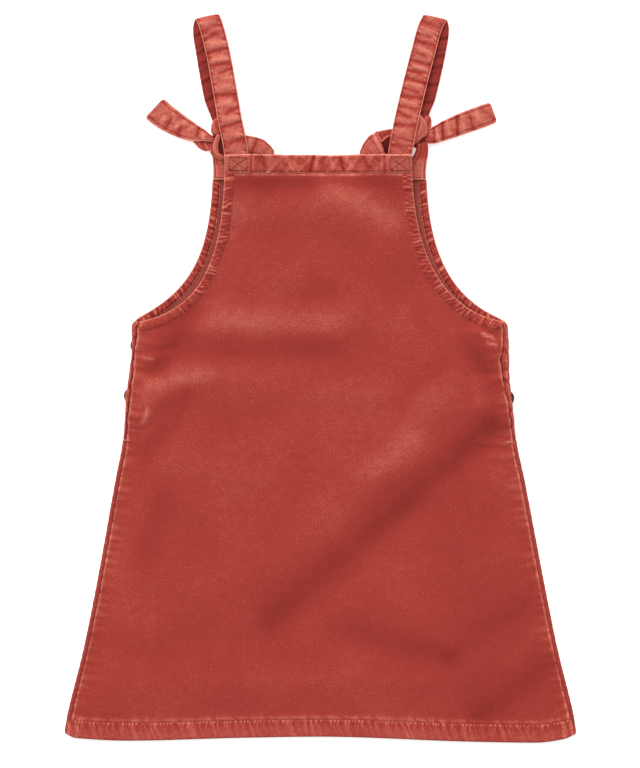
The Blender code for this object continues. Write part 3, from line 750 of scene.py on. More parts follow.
def turned_edge(line, inward, width, rest, pitch, seed, lift=0.95, step=0.5, thickness=2.2,
                slant=0.5, finish=0, edge_wear=0.85, held_shade_and_wear=0.1, calm_from=1e9, beyond=0.0):
    """A turned and stitched edge: a strip along the line, rounded at its fold, held down at its
    stitching, and gathered into slanting puckers between the two. The puckers run on past the
    stitching for as far as beyond says, and end unevenly.

    Gives its parts: the strip and its row of stitches."""
    steps = np.linalg.norm(np.diff(line, axis=0), axis=1)
    places = np.concatenate([[0], np.cumsum(steps)])
    at = np.linspace(0, places[-1], int(places[-1] / step))
    path = np.stack([np.interp(at, places, line[:, k]) for k in range(2)], axis=1)
    heading = np.gradient(path, at, axis=0)
    normal = np.stack([-heading[:, 1], heading[:, 0]], axis=1)
    normal /= np.linalg.norm(normal, axis=1, keepdims=True)
    normal *= np.sign(np.sum(normal * np.asarray(inward), axis=1, keepdims=True))
    t = np.linspace(0, 1 + beyond / width, 15 + int(1.5 * beyond))[None, :]
    s = at[:, None]
    lean = slant * (1 + 0.9 * wander(s, 23, seed + 6))
    folds = gathers(s + lean * width * t, pitch, seed)
    second = gathers(s - 0.5 * lean * width * t, pitch * 1.7, seed + 3)
    held = bell(t - 0.84, 0.07)
    ragged = 0.12 * wander(s, 5.5, seed + 8)
    last_full, first_flat = 0.74 + ragged + 0.5 * beyond / width, 0.96 + ragged + beyond / width
    between = smooth(t, 0.0, 0.3) * (1 - smooth(t, last_full, first_flat))
    calm = 1 - 0.8 * smooth(s, calm_from, calm_from + 18)
    wave = (0.66 * folds + 0.44 * second - 0.45) * calm * (1 + 0.35 * wander(s, 17, seed + 7))
    edge_shift = 0.34 * wave * (1 - smooth(t, 0.1, 0.7))
    place = path[:, None, :] + normal[:, None, :] * (width * t - edge_shift)[..., None]
    x, y = place[..., 0], place[..., 1]
    floor_height = rest(x, y)
    full = thickness * edge_round(t, 0.16) - 0.35 * held
    full = full - (0.95 + 0.16 * beyond) * smooth(t, 0.8, 1.0 + 0.8 * beyond / width)
    ends = smooth(s, 0, 1.6) * smooth(-s, -places[-1], -places[-1] + 1.6)
    top = floor_height + PRESSED_GAP + np.maximum(full * (0.35 + 0.65 * ends), 0.05)
    top = top + lift * wave * between * ends
    # The fold edge and the pucker crests pale from rubbing; painted shade lies in the troughs between
    # puckers and in the dip at the stitching; a pale line lies just past the stitches and at the end.
    worn = (edge_wear * bell(t, 0.12) * (0.70 + 0.5 * folds) + 1.05 * np.maximum(wave, 0) * between
            - 0.95 * np.maximum(-wave, 0) * between**0.5 - held_shade_and_wear * held
            + 0.10 * np.clip(1 - t, 0, 1) + 3.0 * held_shade_and_wear * bell(t - 0.97, 0.05) * (0.3 + folds)
            + 0.5 * bell(places[-1] - s - 0.8, 1.2) * (1 - smooth(t, 0.6, 0.9)))
    strip = layered(x, y, top, np.minimum(floor_height + 0.1, top - 0.04), worn=worn, finish=finish)
    column = int(np.argmin(np.abs(t[0] - 0.86)))
    seam = lying_on(x[:, column], y[:, column], top[:, column])
    return [strip, stitches(seam, thread=0.36 if beyond else 0.5)]


for side, outward, seed, calm_from in (("left", -1, 51, 116), ("right", 1, 52, 147)):
    line = armhole_curve(BACK_ARMHOLE[side], 300, outward)
    line = line[line[:, 1] < BIB_TOP - TOP_BAND + 1.5]
    back_parts += turned_edge(line, (-outward, -1.0), ARMHOLE_HEM, back_rest, 3.5, seed, slant=0.35,
                              held_shade_and_wear=0.05, calm_from=calm_from, beyond=3.6)

# The bottom hem, turned under onto itself: t runs up from its fold to its stitching.
STITCHED_AT = 0.93              # the share of a hem's or band's width where its stitches lie
t = np.concatenate([np.linspace(0, 0.12, 5), np.linspace(0.17, 1, 16)])
x_share, t = np.meshgrid(np.linspace(0, 1, 800), t)
y = HEM_LINE + HEM * t
left = 0.5 - side_at(FRONT_SIDES, "left", y)
right = side_at(FRONT_SIDES, "right", y) - 0.5
x = left + (right - left) * x_share
folds = gathers(x + 5 * t + 1.2 * wander(x + 20 * t, 31, 8), 6.4, 61)
fine = gathers(x - 2.5 * t, 3.1, 62)
near_stitches = bell(t - 0.84, 0.24)
held = bell(t - STITCHED_AT, 0.035)
ends = smooth(x - left, 0, 2) * smooth(right - x, 0, 2)
wave = 0.62 * (folds - 0.45) + 0.6 * near_stitches * (fine - 0.45)
full = 2.1 * edge_round(t, 0.10) - 0.5 * held - 0.8 * smooth(t, 0.96, 1.0)
top = (back_rest(x, y) + PRESSED_GAP + np.maximum(full, 0.05) * (0.5 + 0.5 * ends)
       + 0.6 * wave * smooth(t, 0.02, 0.3) * ends)
from_side = np.minimum(x - left, right - x)
seam_across = bell(from_side - 2.8, 0.8) + 0.8 * bell(from_side - 9.5, 0.9)
# Pucker crests, the top edge and the side seams' crossings pale from rubbing; painted shade lies in the
# troughs, at the stitching and along the bottom fold edge.
worn = (0.12 + 0.42 * np.maximum(wave, 0) - 0.55 * np.maximum(-wave, 0) * (0.4 + near_stitches)
        - 0.40 * held * (1 - fine) + 0.85 * bell(t - 0.955, 0.045) * (0.3 + fine)
        - 0.35 * bell(t, 0.035) + 0.55 * seam_across * (0.7 + 0.4 * wander(y, 4, 64)))
hem_parts = [layered(x, hem_dip(x, y), top, np.minimum(back_rest(x, y) + 0.1, top - 0.04),
                     worn=worn, flat=np.stack([x, y], axis=2))]
row = int(np.argmin(np.abs(t[:, 0] - STITCHED_AT)))
hem_parts.append(stitches(lying_on(x[row], hem_dip(x, y)[row], top[row])))

# The top band, with the box and cross that hold each strap behind it. Its creases run from x, y,
# to x, y, with a height and a reach.
BAND_CREASES = (
    (-58.2, 190, -58.8, 175, -0.9, 1.3),
    (-56.4, 188, -56.8, 176, 0.5, 1.2),
    (-49, 189, -46, 176, -0.4, 1.8),
    (-41, 190, -44, 175, 0.5, 2.4),
    (-28, 187, -24, 177, 0.6, 1.5),
    (-20, 188, -22, 176, 0.45, 1.4),
    (-5, 189, -8, 176, -0.9, 1.5),
    (-1.5, 189, -4, 177, 0.5, 1.6),
    (4, 190, 1.5, 178, -0.4, 2.0),
    (9, 186, 12, 178, 0.5, 1.6),
    (17, 189, 20, 176, -0.8, 1.4),
    (22, 188, 27, 178, 0.4, 1.8),
    (36, 188, 42, 178, -0.55, 1.3),
    (45, 189, 41, 180, 0.55, 1.3),
    (54.6, 190, 55.2, 175, -0.9, 1.3),
    (52.6, 189, 53, 176, 0.5, 1.3),
)
# Each box's left and right, then its bottom and top.
STRAP_BOXES = ((-76.9, -61.8, 175.6, 186.6), (59.4, 75.4, 175.6, 187.0))
y_band = np.concatenate([np.linspace(BIB_TOP, BIB_TOP - 1.6, 6),
                         np.linspace(BIB_TOP - 2.1, BIB_TOP - TOP_BAND, 27)])
band_left, band_right = back_edge("left", y_band), back_edge("right", y_band)
x = band_left[:, None] + (band_right - band_left)[:, None] * np.linspace(0, 1, 300)[None, :]
y = np.repeat(y_band[:, None], x.shape[1], axis=1)
down = (BIB_TOP - y) / TOP_BAND
y = y + 0.7 * wander(x, 47, 71) * (1 - smooth(down, 0, 0.6)) * 0.5
boxed = (1 - smooth(x, -60, -56)) + smooth(x, 52, 57)
fine = gathers(x + 0.3 * y, 3.2, 72)
wave = (folds_at(BAND_CREASES, x, y) + 0.30 * (gathers(x - 0.5 * y, 9, 73) - 0.45)) * (1 - 0.75 * boxed)
wave = wave + 0.4 * (fine - 0.45) * bell(down - 0.86, 0.16)
slanting = np.maximum(wander(x - 0.9 * y, 13, 77), 0) - np.maximum(wander(x + 1.3 * y, 17, 78), 0)
wave = wave + 0.35 * slanting * (1 - 0.6 * boxed)
held = bell(down - STITCHED_AT, 0.035)
full = 2.2 * edge_round(down, 0.10) - 0.5 * held - 0.8 * smooth(down, 0.96, 1.0)
from_side = np.minimum(x - x.min(axis=1, keepdims=True), x.max(axis=1, keepdims=True) - x)
side_drop = edge_round(from_side / 1.2, 1.0)
rest = back_rest(x, np.minimum(y, BIB_TOP))
top = (rest + PRESSED_GAP + np.maximum(full, 0.05) * (0.25 + 0.75 * side_drop)
       + 0.95 * wave * smooth(down, 0.02, 0.2) + 0.35 * boxed * smooth(down, 0.0, 0.2))
# The top fold, crease ridges, ends, boxes and bottom edge pale from rubbing; painted shade lies in the
# creases and at the stitching.
worn = (1.2 * bell(down, 0.075) * (0.8 + 0.3 * wander(x, 9, 74)) + 0.16 + 0.50 * np.maximum(wave, 0)
        - 0.60 * np.maximum(-wave, 0) - 0.15 * held + 0.75 * (1 - side_drop)
        + 0.55 * bell(down - 0.985, 0.03) * (0.2 + fine)
        + 0.16 * boxed)


def band_height(x, y):
    """Just over the band's face where a strap is boxed in behind it."""
    return back_rest(x, np.minimum(y, BIB_TOP)) + 2.35 + 0.35 + 0.1


band_parts = [layered(x, y, top, rest + 0.1, worn=worn)]
row = int(np.argmin(np.abs(down[:, 0] - STITCHED_AT)))
band_parts.append(stitches(lying_on(x[row], y[row], top[row])))
for x0, x1, y0, y1 in STRAP_BOXES:
    corners = ((x0, y0), (x0, y1), (x1, y1), (x1, y0), (x0, y0))
    for start, end in (*zip(corners, corners[1:]), ((x0, y0), (x1, y1)), ((x0, y1), (x1, y0))):
        band_parts.append(stitches(straight(start, end, band_height), pitch=2.5, length=2.0, thread=0.6))
# Bar tacks close the bottom of each side opening: from x and y, to x and y, height over the rest.
BAR_TACKS = (
    (-161.0, -52.5, -166.4, -52.5, 1.5),
    (158.2, -54.6, 164.6, -53.0, 2.25),
    (164.7, -53.2, 164.9, -56.4, 2.05),
)
for x0, y0, x1, y1, lift in BAR_TACKS:
    for dy in (0.0, -0.8):
        line = straight((x0, y0 + dy), (x1, y1 + dy), back_rest) + (0, 0, lift)
        back_parts.append(stitches(line, pitch=1.7, length=1.6, thread=0.7, start=0, wear_and_shade=1.1))

back_panel = add_piece("back_panel_cloth", back_parts, [needlecord, faded_thread])
back_band = add_piece("back_panel_top_band", band_parts, [needlecord, thread])
back_hem = add_piece("back_panel_bottom_hem", hem_parts, [needlecord, faded_thread])
for piece in (back_panel, back_band, back_hem):
    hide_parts("back_panel")

# ---------------------------------------------------------------------------------------------
# Front panel. The same needlecord with its pile side down, so its duller wrong side shows inside
# the armholes. Its armhole edges are turned up onto that side and stitched, and at each side
# seam it comes round onto the back as a narrow lip beside the back's edge.
# ---------------------------------------------------------------------------------------------
FRONT_TOP = 183.0
FRONT_ARMHOLE = {
    "left": ((91.2, 183.0), (91.0, 91.9), (118.2, 70.5), (160.0, 48.0)),
    "right": ((90.5, 183.0), (89.5, 93.4), (120.5, 62.9), (159.3, 48.0)),
}
TAB_FOOT = 168.5                # the tab's stitches hold the turning flat from here up
LIP_WIDTH = SEAM_LIP + 0.8      # it reaches just under the back's edge


def front_edge(side, y):
    """The front's edge: its armhole, then its side, drawn in a little where the two meet."""
    y = np.asarray(y)
    out = side_at(FRONT_SIDES, side, y)
    if side == "left":
        out = out + 1.3 * bell(y + 15, 6)
    out = np.where(y >= ARMHOLE_END, armhole_at(FRONT_ARMHOLE[side], y), out)
    out = out - 1.5 * bell(y - 48.2, 2.6)
    return -out if side == "left" else out


def front_rest(x, y):
    """The height of the front's lower face: on the surface, or lifted by a button."""
    return button_lift(x, y) + 0.02


def front_face(x, y):
    """The front's upper side, where its turnings lie."""
    return front_rest(x, y) + CLOTH - 0.15


def make_twill_material():
    """The wrong side of the cord: a fine slanting weave, duller and browner than the pile."""
    made = cord_material("needlecord inside", (0.31, 0.057, 0.043), (0.52, 0.16, 0.12),
                         (0.06, 0.005, 0.005), pitch=0.9, depth=0.5, clouding=0.7, lint=0.3, bump=0.2)
    tree = made.node_tree
    shader = tree.nodes["Principled BSDF"]
    cloth = new_node(tree, "ShaderNodeTexCoord").outputs["UV"]
    turned = new_node(tree, "ShaderNodeMapping")
    feed(tree, turned, i0=cloth)
    turned.inputs["Rotation"].default_value = (0, 0, math.radians(52))
    weave = new_node(tree, "ShaderNodeTexWave", wave_type="BANDS")
    feed(tree, weave, i0=turned.outputs[0])
    weave.inputs["Scale"].default_value = 0.42
    weave.inputs["Distortion"].default_value = 0.6
    tint = calculate(tree, "MULTIPLY", weave.outputs["Fac"], 0.16)
    colour = shader.inputs["Base Color"].links[0].from_socket
    mixed = blend_colours(tree, tint, colour, (0.50, 0.14, 0.11, 1))
    tree.links.new(mixed, shader.inputs["Base Color"])
    shader.inputs["Sheen Weight"].default_value = 0.08
    return made


inside_cloth = make_twill_material()

rows = np.linspace(FRONT_TOP, HEM_LINE + 0.6, 200)
x = spread(front_edge("left", rows) + 0.6, front_edge("right", rows) - 0.6, edge_dense(110))
y = np.repeat(rows[:, None], x.shape[1], axis=1)
# Painted shade on the front: dark in the slit between the back's edge and the placket, and darker beside
# the back's armhole edges, as that edge shades it.
gap_side = np.where(x < 0, back_edge("left", y) - x, x - back_edge("right", y))
slit = smooth(gap_side, -2.5, 0.5) * (1 - smooth(y, 44, 48)) * smooth(y, -58, -50)
beside_back = bell(gap_side + 0.5, 2.4) * smooth(y, 50, 70)
worn = -0.75 * slit - 0.35 * beside_back + 0.06 * wander(y + x, 40, 81)
ripple = 0.12 * (gathers(y + 0.3 * x, 7, 82) - 0.5) * (1 - smooth(y, 160, 168))
front_parts = [layered(x, hem_dip(x, y), front_rest(x, y) + CLOTH - 0.12 + ripple, front_rest(x, y),
                       worn=worn, flat=np.stack([x, y], axis=2), finish=0, lower_finish=1)]
for side, outward, seed in (("left", -1, 83), ("right", 1, 84)):
    line = armhole_curve(FRONT_ARMHOLE[side], 300, outward)
    line = line[line[:, 1] < TAB_FOOT - 0.5]
    line[:, 0] -= outward * 2.2 * bell(line[:, 1] - 47.6, 2.2)
    turning = turned_edge(line, (-outward, -1.0), 6.9, front_face, 4.3, seed, lift=0.85,
                          thickness=1.45, slant=-0.3, edge_wear=0.40, held_shade_and_wear=0.32)
    # Its finishes count from 0, for the pile and the thread, which are the front's second and third.
    front_parts += [(points, quads, flat, 1.35 * part_worn - 0.06, kinds + 1)
                    for points, quads, flat, part_worn, kinds in turning]
    # The lip that comes round at the side seam.
    y_lip = np.linspace(SEAM_TOP + 1, HEM_LINE + HEM - 1.5, 460)
    outer = np.abs(front_edge(side, y_lip))
    t = np.linspace(0, 1, 9)[None, :]
    drawn = 0.25 * (gathers(y_lip, 7, seed)[:, None] - 0.5) * (1 - t)
    x = outward * (outer[:, None] - LIP_WIDTH * t - drawn)
    y = np.repeat(y_lip[:, None], x.shape[1], axis=1)
    puff = 0.35 * (gathers(y, 6.3, seed + 4) - 0.5)
    top = 1.4 + 2.5 * edge_round(t, 0.55) - 0.3 * smooth(t, 0.8, 1.0) + puff * bell(t - 0.5, 0.3)
    ends = smooth(-y, -SEAM_TOP - 1, -SEAM_TOP + 8)
    top = CLOTH + 0.1 + (top - CLOTH - 0.1) * (0.3 + 0.7 * ends)
    # Painted shade darkens the lip towards the groove beside the back's edge; a pale broken line runs along
    # its middle.
    worn = -0.10 + 0.25 * bell(t - 0.45, 0.18) * gathers(y, 4.4, seed + 6) - 0.40 * smooth(t, 0.80, 0.98)
    front_parts.append(layered(x, hem_dip(x, y), top, 0.5, worn=worn, finish=1))

# The bottom turning, seen only from the side.
t = np.concatenate([np.linspace(0, 0.15, 5), np.linspace(0.3, 1, 6)])
x_share, t = np.meshgrid(np.linspace(0, 1, 500), t)
y = HEM_LINE + 0.25 + HEM * t
left, right = front_edge("left", y) + 0.1, front_edge("right", y) - 0.1
x = left + (right - left) * x_share
corner = smooth(x - left, 0, 9) * smooth(right - x, 0, 9)
y = y + 1.4 * (1 - corner) * (1 - t)
top = 0.3 + 1.1 * edge_round(t, 0.15)
# Paler at its corners; painted shade along its bottom fold edge.
worn = 0.2 * (gathers(x, 6, 90) - 0.5) + 0.3 * (1 - corner) - 0.3 * bell(t, 0.05)
front_parts.append(layered(x, hem_dip(x, y), top, 0.02, worn=worn, finish=1,
                           flat=np.stack([x, y], axis=2)))
front_panel = add_piece("front_panel_cloth", front_parts, [inside_cloth, needlecord, thread])
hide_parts("front_panel")

# ---------------------------------------------------------------------------------------------
# Plackets. Each side opening is finished on the front with a narrow facing of needlecord, which
# washing has rolled into a lumpy cord that stands beside the back's edge, a dark slit between.
# ---------------------------------------------------------------------------------------------
worn_cord = cord_material("needlecord worn", RUST_RUBBED, RUST_FADE_AND_LIGHT, RUST_DEEP,
                          clouding=0.8, lint=0.4)
# Where the roll is nipped in, by height on the pattern: y, depth, reach.
NIPS = {
    "left": ((34, 0.8, 1.8), (17.5, 0.6, 2.8), (1, 0.4, 3.2), (-8, 0.8, 1.8),
             (-22, 0.5, 2.8), (-33, 0.7, 2.0), (-44, 0.4, 2.6)),
    "right": ((36, 0.4, 3.4), (22.5, 0.9, 2.2), (7, 0.5, 3.0), (-2.5, 0.9, 1.8),
              (-16, 0.4, 3.4), (-28, 0.9, 2.0), (-41, 0.4, 3)),
}
for side, outward, seed in (("left", -1, 101), ("right", 1, 102)):
    y_roll = np.linspace(ARMHOLE_END - 1.5, SEAM_TOP + 2, 260)
    outer, inner = np.abs(front_edge(side, y_roll)), np.abs(back_edge(side, y_roll))
    u = edge_dense(15)[None, :]
    lean = 3.2 * wander(y_roll, 31, seed + 2)[:, None] * u
    nips = sum(depth * bell(y_roll[:, None] + lean - at, reach) for at, depth, reach in NIPS[side])
    room = np.clip(outer - inner - 0.5, 1.8, 6.2)
    width = room * (1 - 0.22 * nips[:, 7])
    middle = outward * (outer - 0.2 - room / 2)
    twist = 0.5 * wander(y_roll, 19, seed)[:, None]
    x = middle[:, None] + width[:, None] / 2 * u * outward + 0.2 * twist
    y = y_roll[:, None] - 0.9 * u * np.sign(twist) * np.abs(twist)
    round_top = np.sqrt(np.clip(1 - u**2, 0, 1))
    furrow = bell(u + 0.15 - 0.5 * twist, 0.22) * (0.35 + 0.3 * wander(y_roll, 12, seed + 4)[:, None])
    base = button_lift(x, y, spread=3) + CLOTH + 0.35
    ends = smooth(y, SEAM_TOP + 2, SEAM_TOP + 7) * smooth(-y, -46.6, -45.0)
    raised = 2.35 * round_top * (1 - 0.42 * nips) - 0.45 * furrow * round_top
    top = base + PRESSED_GAP + raised * (0.2 + 0.8 * ends)
    # The crest pales from rubbing and a pale line runs along the outer edge; painted shade lies where the
    # roll is nipped in, in its furrow and down its side by the slit.
    worn = (0.10 + 0.42 * bell(u - 0.2, 0.28) * (0.55 + 0.6 * wander(y_roll, 7, seed + 8)[:, None])
            - 0.60 * nips * (0.25 + 0.75 * bell(u + 0.5, 0.6))
            + 0.25 * bell(nips - 0.25, 0.14) * bell(u - 0.2, 0.5) - 0.35 * smooth(-u, 0.66, 1.0)
            - 0.45 * furrow + 0.35 * bell(u - 0.93, 0.1))
    roll = layered(x, y, top, base, worn=worn)
    seam = stitches(lying_on(x[:, 11], y[:, 11], top[:, 11], lift=0.03),
                    pitch=3.1, length=2.0, thread=0.4)
    placket = add_piece(f"placket_{side}_roll", [roll, seam], [worn_cord, thread])
    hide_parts(f"placket_{side}")

# ---------------------------------------------------------------------------------------------
# Shoulder straps. Each is a tube of needlecord pressed flat and stitched close to both edges. It
# comes out from behind the top band, runs up and over, and comes back down to its knot. Washing
# has drawn it up along its stitches, so that short creases cross it.
# ---------------------------------------------------------------------------------------------
STRAP = 1.8
STRAP_WIDTH = 20.4
# Places along each ribbon: x, y, z of its middle, the turn of the line across it in degrees from
# the x axis, and its width.
STRAP_ROWS = {
    "left": (
        (-70.1, 172.9, 5.0, 2, STRAP_WIDTH),
        (-70.4, 182.0, 6.6, 2, STRAP_WIDTH),
        (-71.0, 190.0, 8.5, 4, STRAP_WIDTH),
        (-73.2, 204.0, 9.4, 8, STRAP_WIDTH),
        (-76.4, 219.0, 8.9, 10, STRAP_WIDTH),
        (-80.0, 240.0, 6.6, 11, STRAP_WIDTH),
        (-86.6, 276.0, 4.4, 12, STRAP_WIDTH),
        (-92.2, 298.0, 4.1, 12, STRAP_WIDTH),
        (-94.6, 304.6, 3.9, 12, STRAP_WIDTH),
        (-96.0, 306.6, 2.6, 12, STRAP_WIDTH),
        (-97.0, 304.6, 1.2, 12, STRAP_WIDTH),
        (-98.0, 298.0, 1.0, 12, STRAP_WIDTH),
        (-95.2, 277.0, 1.0, 11, STRAP_WIDTH),
        (-88.6, 240.0, 1.4, 10, STRAP_WIDTH),
        (-84.6, 224.0, 3.0, 8, 17.0),
        (-82.4, 213.0, 4.2, 6, 13.0),
    ),
    "right": (
        (67.2, 172.9, 5.0, -2, STRAP_WIDTH),
        (67.5, 182.0, 6.6, -2, STRAP_WIDTH),
        (68.0, 190.0, 8.5, -5, STRAP_WIDTH),
        (70.3, 204.0, 9.4, -10, STRAP_WIDTH),
        (73.3, 219.0, 8.9, -13, STRAP_WIDTH),
        (78.2, 240.0, 6.6, -14, STRAP_WIDTH),
        (87.4, 276.0, 4.4, -14, STRAP_WIDTH),
        (93.6, 298.0, 4.1, -13, STRAP_WIDTH),
        (96.6, 304.0, 3.9, -12, STRAP_WIDTH),
        (97.8, 306.0, 2.6, -12, STRAP_WIDTH),
        (98.8, 304.0, 1.2, -12, STRAP_WIDTH),
        (99.6, 298.0, 1.0, -11, STRAP_WIDTH),
        (96.6, 277.0, 1.0, -10, STRAP_WIDTH),
        (88.6, 241.0, 1.4, -9, STRAP_WIDTH),
        (84.4, 224.0, 3.0, -8, 16.0),
        (83.0, 214.0, 4.0, -6, 12.0),
    ),
}
# Creases across each strap: from across, along, to across, along, height, reach.
STRAP_CREASES = {
    "left": (
        (-8, 26, 8, 30, -0.7, 1.8), (-7, 34, 7, 33, 0.5, 2.2), (-9, 41, 8, 44, -0.9, 1.7),
        (-4, 48, 8, 47, 0.7, 2.4), (-2, 53, 9, 57, -0.8, 1.8), (-9, 60, 2, 62, 0.6, 2.2),
        (-9, 70, 7, 68, -0.9, 1.9), (-6, 75, 8, 76, 0.7, 2.0), (-1, 83, 9, 81, 0.5, 1.6),
        (-2, 88, 9, 90, -0.8, 1.5), (-8, 95, 8, 96, -0.9, 1.6), (-5, 100, 8, 99, 0.8, 2.6),
        (-9, 107, 9, 108, -1.0, 1.7), (-3, 114, 8, 112, 0.8, 2.8), (-8, 119, 4, 122, -0.7, 1.6),
        (-4, 127, 8, 129, -0.5, 1.8), (-9, 132, 1, 133, 0.5, 1.8),
    ),
    "right": (
        (-8, 24, 8, 25, -0.5, 1.4), (-9, 31, 6, 30, -0.6, 1.4), (-9, 37, 3, 38, 0.5, 1.5),
        (-9, 41, 7, 43, -0.7, 1.5), (-8, 47, 2, 46, 0.5, 1.5), (-9, 51, 4, 50, -0.7, 1.4),
        (-9, 58, 6, 57, -0.7, 1.3), (-8, 62, 5, 62, 0.6, 1.5), (-9, 66, 8, 68, -0.8, 1.5),
        (-9, 73, 5, 72, -0.6, 1.2), (-7, 77, 6, 78, 0.7, 1.6), (-9, 82, 8, 81, -0.9, 1.5),
        (-8, 88, 6, 90, -0.8, 1.4), (-6, 93, 7, 93, 0.8, 1.7), (-9, 98, 8, 97, -0.9, 1.5),
        (-9, 105, 3, 104, -0.6, 1.3), (-4, 109, 8, 108, 0.7, 1.8), (-9, 114, 7, 115, -0.8, 1.5),
        (-9, 121, 3, 120, -0.6, 1.3), (-6, 126, 8, 125, 0.5, 1.7), (-8, 132, 6, 131, -0.5, 1.6),
    ),
}


SEAM_REACH = 0.55               # how far a row of stitches draws the cloth in to each side of it


def ribbon(rows, thickness, relief, wear_and_shade, step=0.7, across=27, finish=0, seams=(0.88,), blunt=1.4,
           under_wear_and_shade=None, thread_finish=1, faces_up=0, corner=0.0):
    """A flat band along a smooth curve through its rows, with rounded edges and ends.

    relief and the argument after it are functions of u, from -1 to 1 across, and s, mm along: the
    first is added square to the band, and the second gives its paling with use and its painted shade
    and highlights. Each seam gives a stitched groove at that share of the half width on both sides,
    with painted shade in it. faces_up is the end, 0 or -1, at which the upper face looks upwards, the
    lower face may be given marks of its own, and corner rounds the far end's corners. Gives the band
    and its rows of stitches."""
    rows = np.array(rows, float)
    steps = np.linalg.norm(np.diff(rows[:, :3], axis=0), axis=1)
    places = np.concatenate([[0], np.cumsum(steps)])
    at = np.linspace(0, places[-1], max(int(places[-1] / step), 8))
    x, y, z, turn, width = (curve_through(places, column, at) for column in rows.T)
    path = np.stack([x, y, z], axis=1)
    heading = np.gradient(path, at, axis=0)
    turn = np.radians(turn)
    side = np.stack([np.cos(turn), np.sin(turn), np.zeros(len(turn))], axis=1)
    if corner:
        width = width - 2 * corner * (1 - edge_round((places[-1] - at) / corner, 1.0))
    upright = np.cross(side, heading)
    upright /= np.linalg.norm(upright, axis=1, keepdims=True)
    upright *= np.sign(upright[faces_up, 2])
    u = edge_dense(across)[None, :]
    s = at[:, None]
    grooves = sum(bell((np.abs(u) - seam) * width[:, None] / 2, SEAM_REACH) for seam in seams) + 0 * s
    half = thickness / 2 * np.sqrt(np.clip(1 - np.abs(u)**7, 0, 1)) + 0 * s
    end = np.minimum(s, places[-1] - s)
    half = half * (0.12 + 0.88 * edge_round(end / blunt, 1.0))
    bump = relief(u, s) * (1 - np.abs(u)**6) * smooth(end, 0, 2.5)
    upper = half - 0.38 * grooves + bump
    lower = -half + 0.3 * grooves + bump
    band = path[:, None, :] + side[:, None, :] * (width[:, None] / 2 * u)[..., None]
    top = band + upright[:, None, :] * np.maximum(upper, lower + 0.1)[..., None]
    bottom = band + upright[:, None, :] * lower[..., None]
    flat = np.stack([u * width[:, None] / 2, s + 0 * u], axis=2)
    # Painted shade in the stitched grooves.
    worn = wear_and_shade(u, s) - 0.3 * grooves
    under = worn if under_wear_and_shade is None else under_wear_and_shade(u, s)
    parts = [shell(top, bottom, flat=flat, worn=worn, lower_worn=under, finish=finish)]
    for seam in seams:
        for edge in (-1, 1):
            column = int(np.argmin(np.abs(u[0] - edge * seam)))
            line = top[2:-2, column] + 0.08 * upright[2:-2]
            parts.append(stitches(line, pitch=2.9, length=2.1, thread=0.42, finish=thread_finish))
    return parts


strap_cord = cord_material("needlecord strap", RUST_RUBBED, RUST_FADE_AND_LIGHT, RUST_DEEP,
                           pitch=1.3, depth=0.8, clouding=1.0, lint=0.6)
FOLD_OVER = 137.0               # how far along a strap its front run begins
for side, outward, seed in (("left", -1, 111), ("right", 1, 112)):
    creases = STRAP_CREASES[side]

    def strap_relief(u, s):
        half = STRAP_WIDTH / 2
        drawn_up = gathers(s + 2 * u, 4.6, seed) - 0.45
        along_edges = bell(np.abs(u) - 0.72, 0.16)
        return (1.05 * folds_at(creases, u * half, s) + 0.5 * drawn_up * along_edges
                + 0.1 * wander(s, 14, seed))

    def strap_wear_and_shade(u, s):
        half = STRAP_WIDTH / 2
        fold = folds_at(creases, u * half, s)
        above = folds_at(creases, u * half, s + 0.9) - folds_at(creases, u * half, s - 0.9)
        inner_face = smooth(s, FOLD_OVER + 1, FOLD_OVER + 4)
        edges = 1.25 * bell(np.abs(u) - 1.0, 0.05) * (0.9 + 0.35 * wander(s, 11, seed + 3))
        puckers = 0.70 * bell(np.abs(u) - 0.74, 0.14) * (gathers(s + 2 * u, 4.6, seed) - 0.45)
        blotches = 0.12 * wander(s + 6 * u, 13, seed + 7) + 0.08 * wander(9 * u - 0.5 * s, 5, seed + 8)
        # The face: crease ridges and pucker crests pale from rubbing, with painted shade in the troughs;
        # the difference along the strap paints one side of each crease lighter and the other darker, as
        # light and shade.
        face = 0.34 + 0.55 * fold + 0.22 * above + puckers + blotches
        # The front run's inner face, where it shows, is painted in shade, lifting towards its outer side.
        inside = -0.50 + 0.28 * wander(s + 3 * u, 8, seed + 11) + 0.25 * smooth(outward * u, 0.2, 1.0)
        return face * (1 - inner_face) + inside * inner_face + edges * (1 - 0.3 * inner_face)

    strap = add_piece(f"strap_{side}_band", ribbon(STRAP_ROWS[side], STRAP, strap_relief, strap_wear_and_shade),
                      [strap_cord, thread])
    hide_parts(f"strap_{side}")

# ---------------------------------------------------------------------------------------------
# Tabs. A short folded strip of needlecord stands up from each top corner of the front's bib,
# stitched down in a box at its foot. Its upper part goes into the knot.
# ---------------------------------------------------------------------------------------------
TAB_ROWS = {
    "left": (
        (-80.6, 168.4, 2.9, 0, STRAP_WIDTH - 1),
        (-80.6, 176.0, 2.9, 0, STRAP_WIDTH - 1),
        (-81.4, 182.0, 3.2, 0, STRAP_WIDTH - 1.4),
        (-82.6, 187.0, 3.6, -4, 17.2),
        (-83.8, 191.0, 4.0, -8, 15.0),
    ),
    "right": (
        (80.0, 168.4, 2.9, 0, STRAP_WIDTH - 1),
        (80.2, 176.0, 2.9, 0, STRAP_WIDTH - 1),
        (81.2, 182.0, 3.2, 3, 18.6),
        (85.2, 189.0, 3.6, 10, 13.2),
        (86.6, 195.5, 4.0, 12, 10.5),
        (85.8, 200.0, 4.4, 12, 9.5),
    ),
}
TAB_STITCHES = (1.8, 13.0)      # how far up from its foot the tab is sewn across
TAB_FACE = 3.95                 # the height of its upper face there
